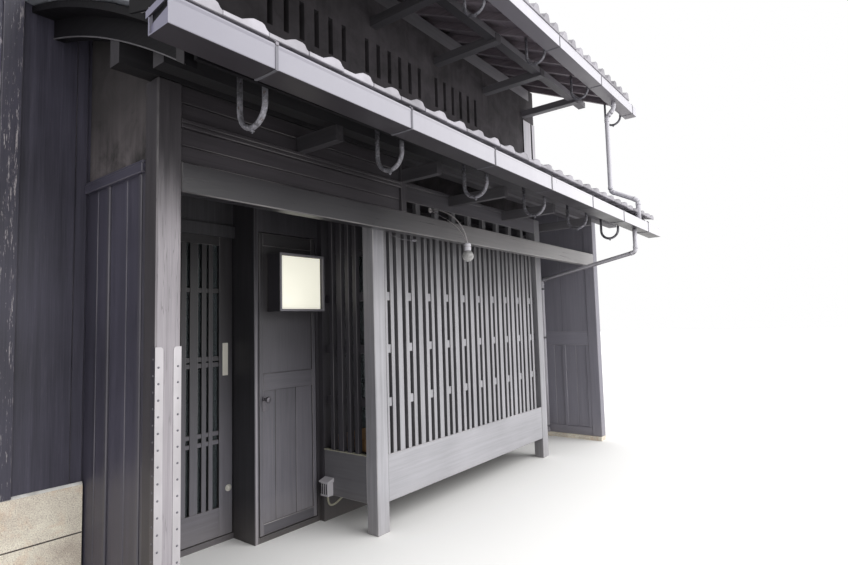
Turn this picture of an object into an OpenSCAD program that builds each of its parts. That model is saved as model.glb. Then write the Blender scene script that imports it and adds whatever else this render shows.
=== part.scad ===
// Machiya townhouse: timber street front with a projecting lattice bay, a lower tiled
// roof over the porch, a plastered upper storey with slotted windows, and a gable roof
// between two party walls. X runs along the street, Y into the house, Z up. Millimetres.

/* [House] */
// Width from the corner post's left face to the right party wall
front_w = 5521; // [5200:1:7000]
// Width of the set-back wing wall left of the corner post
wing_w = 909; // [909:1:1400]
// Depth of the two-storey body, front wall face to rear wall face
body_d = 7272; // [5400:1:10900]
// Depth of the porch, from the corner post's face to the main wall's face
porch_d = 800; // [750:1:1000]
// Thickness of the main walls and party walls
wall_t = 120; // [100:1:140]
// Side of a main post
post = 120; // [105:1:135]
// Thickness of the wing wall's boards
clad_t = 20; // [12:1:24]

/* [Porch frame] */
// Underside of the street lintel above the ground
lintel_z = 2165; // [2060:1:2250]
// Height of the street lintel
lintel_h = 151; // [120:1:180]
// Thickness of the street lintel
lintel_d = 79; // [60:1:100]
// Underside of the wall plate above the ground
plate_z = 2700; // [2640:1:2760]
// Width of the wall plate
plate_w = 90; // [84:1:105]
// How far the wall plate's end stands out past the corner post
plate_end = 175; // [170:1:200]
// Left face of the small strut that stands on the lintel
strut_x = 1775; // [1500:1:1780]
// Width of the small strut
strut_w = 54; // [40:1:60]

/* [Lattice bay] */
// Left face of the bay from the corner post's left face
bay_x = 1713; // [1700:1:1760]
// Width of the bay
bay_w = 2794; // [2400:1:3300]
// Setback of the bay's face behind the corner post's face
bay_y = 238; // [180:1:300]
// Width of a bay post, seen from the street
bay_post_w = 125; // [100:1:150]
// Depth of a bay post
bay_post_d = 109; // [90:1:130]
// Underside of the bay's skirt board
skirt_z = 210; // [150:1:250]
// Height of the skirt board
skirt_h = 339; // [280:1:410]
// Underside of the bay's head board
head_z = 2430; // [2400:1:2460]
// Height of the head board
head_h = 210; // [180:1:225]
// Clear gap between the lattice bars
bar_gap = 42; // [36:1:54]
// Width of a wide lattice bar
bar_wide = 56; // [46:1:62]
// Width of a narrow lattice bar
bar_thin = 38; // [30:1:44]
// Width of the stile between the left bay post and the first bar
bay_stile = 24; // [18:1:36]
// Depth of a lattice bar
bar_d = 40; // [30:1:45]
// Height of a tie rail behind the bars
tie_h = 64; // [40:1:80]
// Height of the lowest tie rail's centre
tie_z = 925; // [760:1:1100]
// Spacing of the tie rails
tie_step = 395; // [320:1:470]
// Thickness of the bay's boards
board_t = 30; // [18:1:36]

/* [Entrance] */
// Right jamb of the entrance from the corner post's left face
jamb_x = 1120; // [1080:1:1160]
// Width of that jamb
jamb_w = 35; // [30:1:45]
// Setback of the sliding door's face behind the corner post's face
door_y = 1109; // [1080:1:1200]
// Width of the sliding door leaf
door_w = 1040; // [1000:1:1050]
// Top of the sliding door leaf
door_top = 2180; // [2000:1:2300]
// Thickness of a door leaf
leaf_t = 35; // [28:1:40]
// Height of the thresholds
sill_h = 40; // [25:1:45]
// Running clearance round a door leaf
clear = 5; // [5:1:7]
// Face of the service door behind the main wall's face
leaf_set = 50; // [45:1:55]
// Top of the service doorway
service_top = 2200; // [2120:1:2400]

/* [Windows] */
// Width of a rear window
rear_w = 1800; // [900:1:2400]
// Left side of the rear windows from the corner post's left face
rear_x = 1500; // [200:1:2900]
// Sill of the ground floor rear window
rear_low_z = 900; // [600:1:1100]
// Height of the ground floor rear window
rear_low_h = 1100; // [800:1:1400]
// Sill of the upper rear window
rear_high_z = 3500; // [3100:1:3600]
// Height of the upper rear window
rear_high_h = 700; // [400:1:850]
// Bottom of the opening behind the lattice bay
bay_sill = 450; // [300:1:600]
// Top of the opening behind the lattice bay
bay_head_top = 2150; // [1900:1:2400]
// Width of a window frame's bars
frame_w = 45; // [30:1:55]
// Depth of a window frame
frame_d = 50; // [35:1:60]
// Thickness of the window glass
glass_t = 5; // [3:1:8]

/* [Lower roof] */
// Rafter ends in front of the corner post's face
low_eave = 600; // [540:1:640]
// Underside of the bargeboard at the rafter ends
low_eave_z = 2489; // [2470:1:2500]
// Rise for each metre of run at the eave
low_pitch = 0.58; // [0.54:0.01:0.62]
// How fast the slope eases up the roof, per metre
low_ease = 0.112; // [0.08:0.001:0.13]
// How far the bargeboard hangs below the rafters
barge_drop = 45; // [40:1:60]
// Depth of a lower rafter
low_rafter_h = 60; // [45:1:75]
// Thickness of the roof boards and tile bed
deck_t = 35; // [24:1:50]
// Width of a rafter
rafter_w = 45; // [36:1:54]
// Spacing of the rafters, half a bay in three
rafter_step = 303; // [280:1:330]
// Centre of the first rafter
rafter_x = 170; // [150:1:190]
// Spacing of the lower arms
low_arm_step = 940; // [900:1:980]
// Underside of the lower arms
low_arm_z = 2530; // [2515:1:2540]
// Height of a lower arm
low_arm_h = 88; // [70:1:90]
// How far the lower arms reach in front of the corner post's face
low_arm_reach = 320; // [280:1:340]

/* [Upper storey] */
// Underside of the girth beam and of the upper floor
girth_z = 2700; // [2660:1:2800]
// Height of the girth beam and thickness of the upper floor
girth_h = 120; // [100:1:150]
// Underside of the upper rafters at the wall face
up_wall_z = 4670; // [4640:1:4900]
// Rise of the upper roof for each unit of run
up_pitch = 0.45; // [0.42:0.01:0.48]
// Run from the wall face to the upper rafter ends
up_eave = 1230; // [1150:1:1300]
// Depth of an upper rafter
up_rafter_h = 75; // [60:1:90]
// Thickness of the upper roof boards and tile bed
up_deck_t = 60; // [40:1:80]
// Spacing of the upper rafters, taken to the nearest even share
up_rafter_pitch = 360; // [280:1:400]
// Lowest point of the upper pole hooks
up_hook_z = 3905; // [3880:1:3940]
// Underside of the upper arms
up_arm_z = 4235; // [4200:1:4245]
// Reach of the upper arms from the wall face
up_arm_reach = 760; // [700:1:800]
// Spacing of the upper arms
up_arm_step = 985; // [930:1:1000]
// Centre of the rightmost upper arm, from the right party wall
up_arm_end = 185; // [150:1:250]
// Bottom of the window slots
slot_z = 3780; // [3700:1:3850]
// Height of the window slots
slot_h = 320; // [250:1:380]
// Width of a window slot
slot_w = 50; // [35:1:60]
// Spacing of the slots in a window
slot_step = 154; // [120:1:160]
// Slots in each window
slot_n = 6; // [4:1:6]
// Centre of the first slot from the corner post's left face
slot_x = 1234; // [1200:1:1300]
// Spacing of the windows
window_step = 1058; // [1020:1:1100]
// How far the upper roof passes the party walls
verge = 60; // [40:1:90]

/* [Gutters] */
// Width of a box gutter
gutter_w = 135; // [110:1:150]
// Height of a box gutter
gutter_h = 105; // [90:1:110]
// Thickness of the gutter's folded metal
gutter_t = 4; // [3:1:5]
// Gap between the eave board and the lower gutter
gutter_gap = 30; // [20:1:40]
// Underside of the lower gutter at the corner post
low_gutter_z = 2511; // [2500:1:2520]
// Fall of the lower gutter for each metre to the right
gutter_fall = 9.6; // [0:0.1:10]
// How far the lower gutter passes the corner post to the left
gutter_end = 356; // [330:1:380]
// Spacing of the lower gutter's straps
strap_step = 845; // [700:1:960]
// Underside of the upper gutters
up_gutter_z = 4000; // [3960:1:4010]
// Radius of a downpipe
pipe_r = 30; // [24:1:34]
// Distance of the upper downpipe from the right party wall
up_pipe_in = 471; // [400:1:600]
// Distance of the lower downpipe's outlet from the right party wall
low_pipe_in = 661; // [600:1:900]

/* [Hidden] */

// Faces of the house, all worked out from the driving sizes
x_left = -wing_w;
x_in = x_left + wall_t;
x_right = front_w + wall_t;
y_main = porch_d;
y_in = y_main + wall_t;
y_back = y_main + body_d;
y_back_in = y_back - wall_t;
y_ridge = y_main + body_d / 2;
lintel_top = lintel_z + lintel_h;
post_ease = 7;
lintel_ease = 6;

// Bay
bay_x1 = bay_x + bay_w;
bay_in0 = bay_x + bay_post_w;
bay_in1 = bay_x1 - bay_post_w;
bay_inset = 5;
bay_side_y = bay_y + bay_post_d;
bay_top = head_z + head_h;
skirt_top = skirt_z + skirt_h;

// Doors
leaf_gap = clear + 3;
leaf_y0 = y_main + leaf_set;
leaf_y1 = leaf_y0 + leaf_t;
leaf_z = sill_h + clear;
leaf_x0 = jamb_x + jamb_w + leaf_gap;
leaf_x1 = bay_x - 30;
frame_x0 = leaf_x1 + clear;
hinge_x = leaf_x1 + 4;
hinge_y = leaf_y1 + 8;
hinge_r = 6;
hinge_h = 60;
pin_r = 3;
hinge_levels = [300, 1900];
door_x1 = jamb_x - leaf_gap;
door_x0 = door_x1 - door_w;
door_y1 = door_y + leaf_t;
groove = 12;

// Faces and rails of the end wall
end_face = front_w + 8;
end_panel = end_face + 4;
end_foot = 150;
end_rail_lo = 1174;
end_rail_hi = 1350;

// Lower roof and its gutter
low_y0 = -low_eave;
fascia_t = 20;
strap_t = 3;
strap_w = 14;
strap_x = 80;
batten_h = 51;
deck_left = -280;
barge_x0 = -160;
barge_t = 30;
purlin_w = 90;
low_purlin_y = 10 - low_arm_reach;
low_gut_y1 = low_y0 - fascia_t - gutter_gap;
low_gut_y0 = low_gut_y1 - gutter_w;
curve_n = 14;

// Upper roof and its gutters
up_y0 = y_main - up_eave;
up_y1 = y_back + up_eave;
up_plate_z = up_wall_z - 150;
up_arm_h = 80;
up_notch = 30;
deck_lip = 20;
up_gut_gap = 5;

// Upper rafters: the first and last stand on the party walls, evenly spaced between
rafter_lap = rafter_w + 15;
up_rafter_run = x_right - x_left - rafter_w - rafter_lap;
up_rafter_n = round(up_rafter_run / up_rafter_pitch);
up_rafter_x = x_left + rafter_w / 2;
up_rafter_step = up_rafter_run / up_rafter_n;

// Cover boards over the joint between the front wall and the right party wall
cover_w = 211;
cover_t = 12;
cover_gap = 8;
cover_z = low_curve(y_main) + barge_drop + low_rafter_h + deck_t + cover_gap;
cover_top = up_arm_z - 35;

// The house's own reference point: the middle of its outer box, on the ground
y_low = low_gut_y0 - strap_t;
y_high = up_y1 + up_gut_gap + gutter_w + strap_t;
origin = [(x_left + x_right) / 2, (y_low + y_high) / 2, 0];

// A little overlap between pieces of one solid, and the gap at a seat
eps = 0.5;
seat = 0.3;

// Underside of the lower roof's bargeboard at depth y: a slope that eases up the roof,
// taken in short straight steps so that all that lies on it or under it fits
function low_curve(y) = low_eave_z
    + low_pitch * (y - low_y0)
    - low_ease * (y - low_y0) * (y - low_y0) / 1000;
low_line = [for (y = span(low_y0, y_main, curve_n)) [y, low_curve(y)]];
function low_z(y) = lookup(y, low_line);

// Underside of the lower rafters at depth y
function low_rafter_z(y) = low_z(y) + barge_drop;

// Underside of the upper rafters at depth y, the same on both sides of the ridge
function up_z(y) = up_wall_z + up_pitch * (body_d / 2 - abs(y - y_ridge));

// Underside of the lower gutter at x
function low_gut_z(x) = low_gutter_z - x * gutter_fall / 1000;

// Values from a to b in n steps
function span(a, b, n) = [for (i = [0:n]) a + (b - a) * i / n];

// Depths from y0 to y1 at which the lower roof's line turns, with both ends
function knots(y0, y1) = concat(
    [y0],
    [for (p = low_line) if (p[0] > y0 + eps && p[0] < y1 - eps) p[0]],
    [y1]
);

// The same depths from the far end back, each lifted by a above the lower roof's line
function low_back(y0, y1, a) =
    let (k = knots(y0, y1)) [for (i = [len(k) - 1:-1:0]) [k[i], low_z(k[i]) + a]];

function unit(v) = v / norm(v);

// A rectangle between two corners with its four edges eased off by c
function eased(x0, y0, x1, y1, c) = [
    [x0 + c, y0], [x1 - c, y0], [x1, y0 + c], [x1, y1 - c],
    [x1 - c, y1], [x0 + c, y1], [x0, y1 - c], [x0, y0 + c]
];

// Width of lattice bar i and its left edge in a run: groups of narrow, wide and narrow
// bars, with the same clear gap between any two
bar_group = 2 * bar_thin + bar_wide + 3 * bar_gap;
function bar_w(i) = i % 3 == 1 ? bar_wide : bar_thin;
function bar_at(i) = bar_gap + floor(i / 3) * bar_group
    + [0, bar_thin + bar_gap, bar_thin + bar_wide + 2 * bar_gap][i % 3];

// How many bars a run takes, with at least a gap left at its end
function bar_count(run, i = 0) =
    bar_at(i) + bar_w(i) + bar_gap > run ? i : bar_count(run, i + 1);

// Outline between two heights above the lower roof's curve
function low_band(y0, y1, a, b) = concat(
    [for (y = knots(y0, y1)) [y, low_z(y) + a]],
    low_back(y0, y1, b)
);

// Outline of a beam whose flat foot is at z and whose top meets the lower rafters
function under_rafters(y0, y1, z) = concat(
    [[y0, z], [y1, z]],
    low_back(y0, y1, barge_drop)
);

// Outline of a wall whose flat foot is at z and whose top meets the lower roof's boards
function under_deck(y0, y1, z) = concat(
    [[y0, z], [y1, z]],
    low_back(y0, y1, barge_drop + low_rafter_h)
);

// Outline of a beam whose flat foot is at z and whose top meets the upper rafters
function under_upper(y0, y1, z) = [
    [y0, z], [y1, z], [y1, up_z(y1)],
    if (y0 < y_ridge && y1 > y_ridge) [y_ridge, up_z(y_ridge)],
    [y0, up_z(y0)]
];

// A block between two corners
module block(x0, y0, z0, x1, y1, z1) {
    translate([x0, y0, z0]) cube([x1 - x0, y1 - y0, z1 - z0]);
}

// An outline in Y and Z, carried along X from x0 to x1
module along_x(x0, x1) {
    translate([x0, 0, 0]) rotate([90, 0, 90]) linear_extrude(x1 - x0) children();
}

// Everything stands round the reference point
module placed() {
    translate(-origin) children();
}

// A round pipe through points, with a socketed elbow of radius bend at each corner
module socket_pipe(pts, r, bend) {
    n = len(pts);
    collar = 4;
    short = 2;
    dirs = [for (i = [0:n - 2]) unit(pts[i + 1] - pts[i])];
    turns = [for (i = [1:n - 2]) acos(dirs[i - 1] * dirs[i])];
    cuts = concat([-short], [for (t = turns) bend * tan(t / 2)], [-short]);
    union() {
        for (i = [0:n - 2]) {
            d = dirs[i];
            a = pts[i] + d * (cuts[i] + short);
            b = pts[i + 1] - d * (cuts[i + 1] + short);
            rod(a, b, r);
            if (i > 0) rod(a - d * 10, a + d * 22, r + collar);
            if (i < n - 2) rod(b - d * 22, b + d * 10, r + collar);
        }
        for (i = [1:n - 2]) {
            d = dirs[i - 1];
            side = unit(dirs[i] - d * (d * dirs[i]));
            up = cross(d, side);
            centre = pts[i] - d * cuts[i] + side * bend;
            multmatrix([
                [-side[0], d[0], up[0], centre[0]],
                [-side[1], d[1], up[1], centre[1]],
                [-side[2], d[2], up[2], centre[2]],
                [0, 0, 0, 1]
            ]) rotate_extrude(angle = turns[i - 1], $fn = 48)
                translate([bend, 0]) circle(r = r, $fn = 24);
        }
    }
}

// A smooth curve through four control points, from 0 to 1
function bezier(p, t) = p[0] * pow(1 - t, 3) + 3 * p[1] * t * pow(1 - t, 2)
    + 3 * p[2] * t * t * (1 - t) + p[3] * pow(t, 3);

// A round tube swept along a path that stays in a plane across the street
module swept_tube(path, r, sides) {
    n = len(path);
    ahead = [for (i = [0:n - 1]) unit(path[min(i + 1, n - 1)] - path[max(i - 1, 0)])];
    points = [
        for (i = [0:n - 1], k = [0:sides - 1])
            let (a = 360 * k / sides, side = cross([1, 0, 0], ahead[i]))
                path[i] + r * (cos(a) * [1, 0, 0] + sin(a) * side)
    ];
    polyhedron(points, concat(
        [[for (k = [sides - 1:-1:0]) k]],
        [for (i = [0:n - 2], k = [0:sides - 1]) [
            i * sides + k, i * sides + (k + 1) % sides,
            (i + 1) * sides + (k + 1) % sides, (i + 1) * sides + k
        ]],
        [[for (k = [0:sides - 1]) (n - 1) * sides + k]]
    ));
}

// A round bar from point a to point b
module rod(a, b, r) {
    v = b - a;
    lean = acos(v[2] / norm(v));
    turn = atan2(v[1], v[0]);
    translate(a) rotate([0, lean, turn]) cylinder(h = norm(v), r = r, $fn = 24);
}

module stone_base() {
    color("tan") placed() {
        joint_z = 455;
        joint = 3;
        top_z = 705;
        proud = 30;
        sill = 50;
        union() {
            for (z = [[0, joint_z], [joint_z + joint, top_z]])
                translate([0, 0, z[0]]) linear_extrude(z[1] - z[0]) polygon([
                    [x_left, y_main - proud], [0, y_main - proud], [0, y_in],
                    [x_in, y_in], [x_in, y_main], [x_left, y_main]
                ]);
            block(x_in, y_main, joint_z - eps, 0, y_in, joint_z + joint + eps);
        }
        block(front_w - 20, 0, 0, x_right, y_main, sill);
    }
}

module left_wing_wall() {
    color("dimgray") placed() {
        base_top = 705;
        batten_x = -376;
        batten_w = 87;
        union() {
            block(x_in, y_main, base_top, post, y_in, up_plate_z);
            block(0, y_main, 0, post, y_in, base_top + eps);
            block(x_left, y_main - clad_t, base_top, 0, y_main, up_arm_z);
            block(batten_x, y_main - 2 * clad_t, base_top, batten_x + batten_w,
                y_main - clad_t + eps, up_arm_z);
        }
    }
}

module corner_post() {
    color("gray") placed() linear_extrude(plate_z) polygon(eased(0, 0, post, post, post_ease));
}

// One folded flange of a post guard, with its free top corner rounded off
module flange(w, h, r) {
    difference() {
        square([w, h]);
        translate([w - r, h - r]) difference() {
            square(r + 1);
            circle(r = r, $fn = 48);
        }
    }
}

module post_guards() {
    color("lightgray") placed() {
        guard_h = 1425;
        guard_t = 2;
        guard_w = 36;
        corner_r = 16;
        for (side = [0, 1])
            translate([side * post, 0, 0]) mirror([side, 0, 0]) union() {
                translate([-guard_t, 0, 0]) rotate([90, 0, 0])
                    linear_extrude(guard_t) flange(guard_w + guard_t, guard_h, corner_r);
                translate([-guard_t, -guard_t, 0]) rotate([90, 0, 90])
                    linear_extrude(guard_t) flange(guard_w + guard_t, guard_h, corner_r);
            }
    }
}

module left_sleeve_wall() {
    color("dimgray") placed() {
        rail_z = 2259;
        rail_top = 2321;
        rail_out = 15;
        cap_z = 2306;
        cap_in = 5;
        face = 12;
        batten_w = 33;
        plaster = 20;
        union() {
            block(face, post, 0, post - face, y_main, rail_z + eps);
            for (y = [post + 34, post + 380])
                block(0, y, 0, face + eps, y + batten_w, rail_z + eps);
            block(-rail_out, post, rail_z, post, y_main - clad_t, cap_z);
            block(cap_in - rail_out, post, cap_z - eps, post - cap_in, y_main - clad_t,
                rail_top);
            along_x(plaster, post - plaster)
                polygon(under_deck(post, y_main, rail_z + 1));
        }
    }
}

module entrance_surround() {
    color("dimgray") placed() {
        cheek_x = 60;
        lip = 20;
        track = 75;
        head = door_top + clear;
        rail_y0 = door_y - clear;
        rail_y1 = door_y1 + clear;
        block(cheek_x, y_in, 0, post, rail_y0 - lip, girth_z);
        block(jamb_x, leaf_y0, 0, jamb_x + jamb_w, rail_y1 + lip, girth_z);
        along_x(x_in, jamb_x) polygon([
            [rail_y0 - lip, head - groove], [rail_y0, head - groove], [rail_y0, head],
            [rail_y1, head], [rail_y1, head - groove], [rail_y1 + lip, head - groove],
            [rail_y1 + lip, head + track], [rail_y0 - lip, head + track]
        ]);
        block(cheek_x, door_y, head + track, jamb_x, door_y1, girth_z);
        block(x_in, rail_y0, 0, jamb_x, rail_y1, sill_h);
    }
}

module entrance_door() {
    color("gray") placed() {
        stile = 100;
        kick_top = 243;
        head = 70;
        bars = 11;
        narrow_bar = 34;
        wide_bar = 58;
        x0 = door_x0 + stile;
        x1 = door_x1 - stile;
        step = (x1 - x0) / (bars + 1);
        wheel_r = 16;
        union() {
            for (x = [door_x0, x1])
                block(x, door_y, leaf_z, x + stile, door_y1, door_top);
            block(door_x0, door_y, leaf_z, door_x1, door_y1, kick_top);
            block(door_x0, door_y, door_top - head, door_x1, door_y1, door_top);
            for (i = [1:bars]) {
                half = (i % 3 == 0 ? wide_bar : narrow_bar) / 2;
                block(x0 + i * step - half, door_y + 2, kick_top - eps,
                    x0 + i * step + half, door_y + 20, door_top - head + eps);
            }
            for (z = [685, 745, 1232, 1277, 1760])
                block(x0 - eps, door_y + 14, z, x1 + eps, door_y1 - 3, z + 32);
            for (x = [door_x0 + stile, door_x1 - stile])
                translate([x, door_y1 - 10, sill_h + seat + wheel_r]) rotate([90, 0, 0])
                    cylinder(h = leaf_t - 20, r = wheel_r, $fn = 32);
            translate([door_x1 - 37, door_y + eps, 364]) rotate([90, 0, 0])
                cylinder(h = 14, r = 24, $fn = 32);
        }
    }
}

// Three hinge knuckles share this outline: a barrel with a plate to one side
module knuckle(z0, z1, plate_x0, plate_x1, plate_y0, plate_y1) {
    translate([hinge_x, hinge_y, z0]) cylinder(h = z1 - z0, r = hinge_r, $fn = 32);
    block(plate_x0, plate_y0, z0, plate_x1, plate_y1, z1);
}

module service_door() {
    color("dimgray") placed() {
        stile = 34;
        rail_lo = 1047;
        rail_hi = 1170;
        foot = 122;
        top = service_top - clear;
        pane_y = leaf_y0 + 10;
        grooves = [1307, 1494];
        groove_w = 6;
        groove_d = 4;
        difference() {
            union() {
                block(leaf_x0, pane_y, leaf_z, leaf_x1, leaf_y1, top);
                for (x = [leaf_x0, leaf_x1 - stile])
                    block(x, leaf_y0, leaf_z, x + stile, leaf_y1, top);
                block(leaf_x0, leaf_y0, leaf_z, leaf_x1, leaf_y1, foot);
                block(leaf_x0, leaf_y0, rail_lo, leaf_x1, leaf_y1, rail_hi);
                block(leaf_x0, leaf_y0, top - 95, leaf_x1, leaf_y1, top);
                for (z = hinge_levels)
                    knuckle(z, z + hinge_h, leaf_x1 - 30, hinge_x, leaf_y1 - eps, leaf_y1 + 3);
            }
            for (x = grooves)
                block(x - groove_w / 2, pane_y - 1, foot, x + groove_w / 2,
                    pane_y + groove_d, rail_lo);
            for (z = hinge_levels)
                translate([hinge_x, hinge_y, z - 1])
                    cylinder(h = hinge_h + 2, r = pin_r + 0.05, $fn = 32);
        }
    }
}

module service_knob() {
    color("silver") placed() {
        knob_x = leaf_x0 + 37;
        knob_z = 990;
        plate_half = 17;
        plate_t = 4;
        plate_lo = knob_z - 73;
        plate_hi = knob_z + 3;
        translate([knob_x, leaf_y0, 0]) rotate([90, 0, 0]) union() {
            linear_extrude(plate_t) union() {
                translate([-plate_half, plate_lo])
                    square([2 * plate_half, plate_hi - plate_lo]);
                for (z = [plate_lo, plate_hi])
                    translate([0, z]) circle(r = plate_half, $fn = 48);
            }
            translate([0, knob_z, 0]) rotate_extrude($fn = 48) polygon([
                [0, 0], [13, 0], [13, 9], [9, 13], [9, 32], [17, 38], [23, 46],
                [23, 53], [18, 59], [0, 61]
            ]);
        }
    }
}

module sign_box() {
    color("ivory") placed() {
        sign_x = 1234;
        sign_w = 418;
        sign_z = 1616;
        sign_h = 424;
        sign_d = 152;
        rim = 15;
        sunk = 8;
        difference() {
            block(sign_x, leaf_y0 - sign_d, sign_z, sign_x + sign_w, leaf_y0,
                sign_z + sign_h);
            block(sign_x + rim, leaf_y0 - sign_d - 1, sign_z + rim,
                sign_x + sign_w - rim, leaf_y0 - sign_d + sunk, sign_z + sign_h - rim);
        }
    }
}

module service_frame() {
    color("dimgray") placed() {
        rebate_x = hinge_x + hinge_r + 6;
        rebate_y = leaf_y1 - 3;
        block(jamb_x + jamb_w, leaf_y0, 0, frame_x0, y_in, sill_h);
        union() {
            linear_extrude(girth_z) polygon([
                [frame_x0, leaf_y0], [bay_x, leaf_y0], [bay_x, y_main], [bay_in0, y_main],
                [bay_in0, y_in], [rebate_x, y_in], [rebate_x, rebate_y],
                [frame_x0, rebate_y]
            ]);
            block(jamb_x + jamb_w, leaf_y0, service_top, frame_x0 + eps, rebate_y, girth_z);
            block(jamb_x + jamb_w, rebate_y - eps, service_top + 10, rebate_x + eps,
                y_in, girth_z);
            for (z = hinge_levels, k = [[-30, -eps], [hinge_h + eps, hinge_h + 30]])
                knuckle(z + k[0], z + k[1], hinge_x, rebate_x + eps,
                    hinge_y - 2, hinge_y + 2);
            for (z = hinge_levels)
                translate([hinge_x, hinge_y, z - 30])
                    cylinder(h = hinge_h + 60, r = pin_r, $fn = 32);
        }
    }
}

module bay_posts() {
    color("gray") placed()
        for (x = [bay_x, bay_in1])
            linear_extrude(bay_top)
                polygon(eased(x, bay_y, x + bay_post_w, bay_side_y, bay_inset));
}

// Upright bars along X from a start x0 to the end of a run, with rails behind them and
// a tie let in between two groups
module bars(x0, run) {
    n = bar_count(run - x0);
    sunk = 4;
    tie_in = 8;
    union() {
        for (i = [0:n - 1]) {
            x = x0 + bar_at(i);
            block(x, 0, skirt_top, x + bar_w(i), bar_d, head_z);
        }
        for (k = [0:2]) {
            z = tie_z + k * tie_step;
            block(0, bar_d - sunk, z - tie_h / 2, run, bar_d + 22, z + tie_h / 2);
            for (i = [2:3:n - 2])
                block(x0 + bar_at(i) + bar_w(i) - eps, tie_in, z - tie_h / 2,
                    x0 + bar_at(i + 1) + eps, bar_d, z + tie_h / 2);
        }
    }
}

module bay_front_lattice() {
    color("lightslategray") placed()
        translate([bay_in0, bay_y + bay_inset, 0]) union() {
            bars(bay_stile, bay_in1 - bay_in0);
            block(0, -bay_inset, skirt_top, bay_stile, bar_d, head_z);
        }
}

// Bars in the middle of the run between a bay post and the main wall
module side_bars() {
    run = y_main - bay_side_y;
    last = bar_count(run) - 1;
    bars((run - bar_at(last) - bar_w(last) - bar_gap) / 2, run);
}

module bay_left_lattice() {
    color("dimgray") placed()
        translate([bay_x + bay_inset, y_main, 0]) rotate([0, 0, -90]) side_bars();
}

module bay_right_lattice() {
    color("dimgray") placed()
        translate([bay_x1 - bay_inset, bay_side_y, 0]) rotate([0, 0, 90]) side_bars();
}

// Boards on the three free sides of the bay, between two heights
module bay_ring(z0, z1) {
    x0 = bay_x + bay_inset;
    x1 = bay_x1 - bay_inset;
    y0 = bay_y + bay_inset;
    block(bay_in0, y0, z0, bay_in1, y0 + board_t, z1);
    block(x0, bay_side_y, z0, x0 + board_t, y_main, z1);
    block(x1 - board_t, bay_side_y, z0, x1, y_main, z1);
}

module bay_skirt() {
    color("lightslategray") placed() bay_ring(skirt_z, skirt_top);
}

module bay_head() {
    color("dimgray") placed() bay_ring(head_z, bay_top);
}

module bay_boards() {
    color("dimgray") placed() {
        x0 = bay_x + bay_inset + board_t;
        x1 = bay_x1 - bay_inset - board_t;
        for (z = [skirt_z, bay_top - board_t])
            block(x0, bay_side_y, z, x1, y_main, z + board_t);
    }
}

module lower_main_wall() {
    color("dimgray") placed() {
        x1 = bay_x1 - post;
        difference() {
            block(bay_in0, y_main, 0, front_w, y_in, girth_z);
            block(bay_in0 - 1, y_main - 1, bay_sill, x1, y_in + 1, bay_head_top);
        }
    }
}

module end_wall() {
    color("dimgray") placed() {
        sill = 50;
        sunk_face = end_face + 14;
        back = x_right - 8;
        union() {
            along_x(front_w, x_right) polygon(under_deck(0, post, sill));
            block(sunk_face, post - eps, sill, back, y_main, end_rail_lo + eps);
            block(end_face, post - eps, sill, back, y_main, end_foot);
            block(end_face, post - eps, end_rail_lo, back, y_main, end_rail_hi);
            for (y = [[post, post + 40], [430, 475], [y_main - 100, y_main]])
                block(end_face, y[0] - eps, end_foot - eps, back, y[1], end_rail_lo + eps);
            along_x(end_panel, back)
                polygon(under_deck(post - eps, y_main, end_rail_hi - eps));
        }
    }
}

module lintel() {
    color("gray") placed()
        along_x(post, front_w) polygon(eased(0, lintel_z, lintel_d, lintel_top, lintel_ease));
}

module transom() {
    color("dimgray") placed() {
        rail_h = 43;
        groove_h = 5;
        groove_d = 6;
        half = (rail_h - groove_h) / 2;
        board_y = 20;
        board = 30;
        union() {
            block(post, board_y, lintel_top, strut_x, board_y + board, plate_z);
            for (z = [low_arm_z - rail_h, low_arm_z - half])
                block(post, 0, z, strut_x, board_y + eps, z + half);
            block(post, groove_d, low_arm_z - rail_h + eps, strut_x, board_y + eps,
                low_arm_z - eps);
            block(strut_x - eps, 0, lintel_top, strut_x + strut_w, 60, plate_z);
        }
    }
}

module long_beams() {
    color("dimgray") placed() {
        ridge_w = 75;
        ridge_h = 250;
        along_x(-plate_end, front_w) polygon(under_rafters(0, plate_w, plate_z));
        along_x(barge_x0 + barge_t, front_w)
            polygon(under_rafters(low_purlin_y, low_purlin_y + purlin_w, low_arm_z + low_arm_h));
        block(post, y_main, girth_z, front_w, y_in, girth_z + girth_h);
        for (y = [y_main, y_back_in])
            along_x(x_in, front_w) polygon(under_upper(y, y + wall_t, up_plate_z));
        for (y = [y_main - up_arm_reach + 10, y_back + up_arm_reach - purlin_w - 10])
            along_x(x_left, x_right)
                polygon(under_upper(y, y + purlin_w, up_arm_z + up_notch));
        along_x(x_in, front_w) polygon(under_upper(y_ridge - ridge_w, y_ridge + ridge_w,
            up_z(y_ridge) - ridge_h));
    }
}

module eave_arms() {
    color("dimgray") placed() {
        low_half = 27;
        up_half = 45;
        last = floor((front_w - strut_x - strut_w) / low_arm_step);
        for (k = [-1:last]) {
            x = strut_x + strut_w / 2 + k * low_arm_step;
            root = k < 0 ? 20 : k == 0 ? 0 : x < bay_x1 ? bay_y + bay_inset : y_main;
            block(x - low_half, -low_arm_reach, low_arm_z, x + low_half, root,
                low_arm_z + low_arm_h);
        }
        n = floor((front_w - up_arm_end - x_in) / up_arm_step);
        for (k = [0:n], side = [0, 1]) {
            x = front_w - up_arm_end - k * up_arm_step;
            y0 = side == 0 ? y_main - up_arm_reach : y_back;
            y1 = y0 + up_arm_reach;
            cut = side == 0 ? y0 + 10 : y1 - purlin_w - 10;
            difference() {
                block(x - up_half, y0, up_arm_z, x + up_half, y1, up_arm_z + up_arm_h);
                block(x - up_half - 1, cut, up_arm_z + up_notch, x + up_half + 1,
                    cut + purlin_w, up_arm_z + up_arm_h + 1);
            }
        }
    }
}

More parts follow.
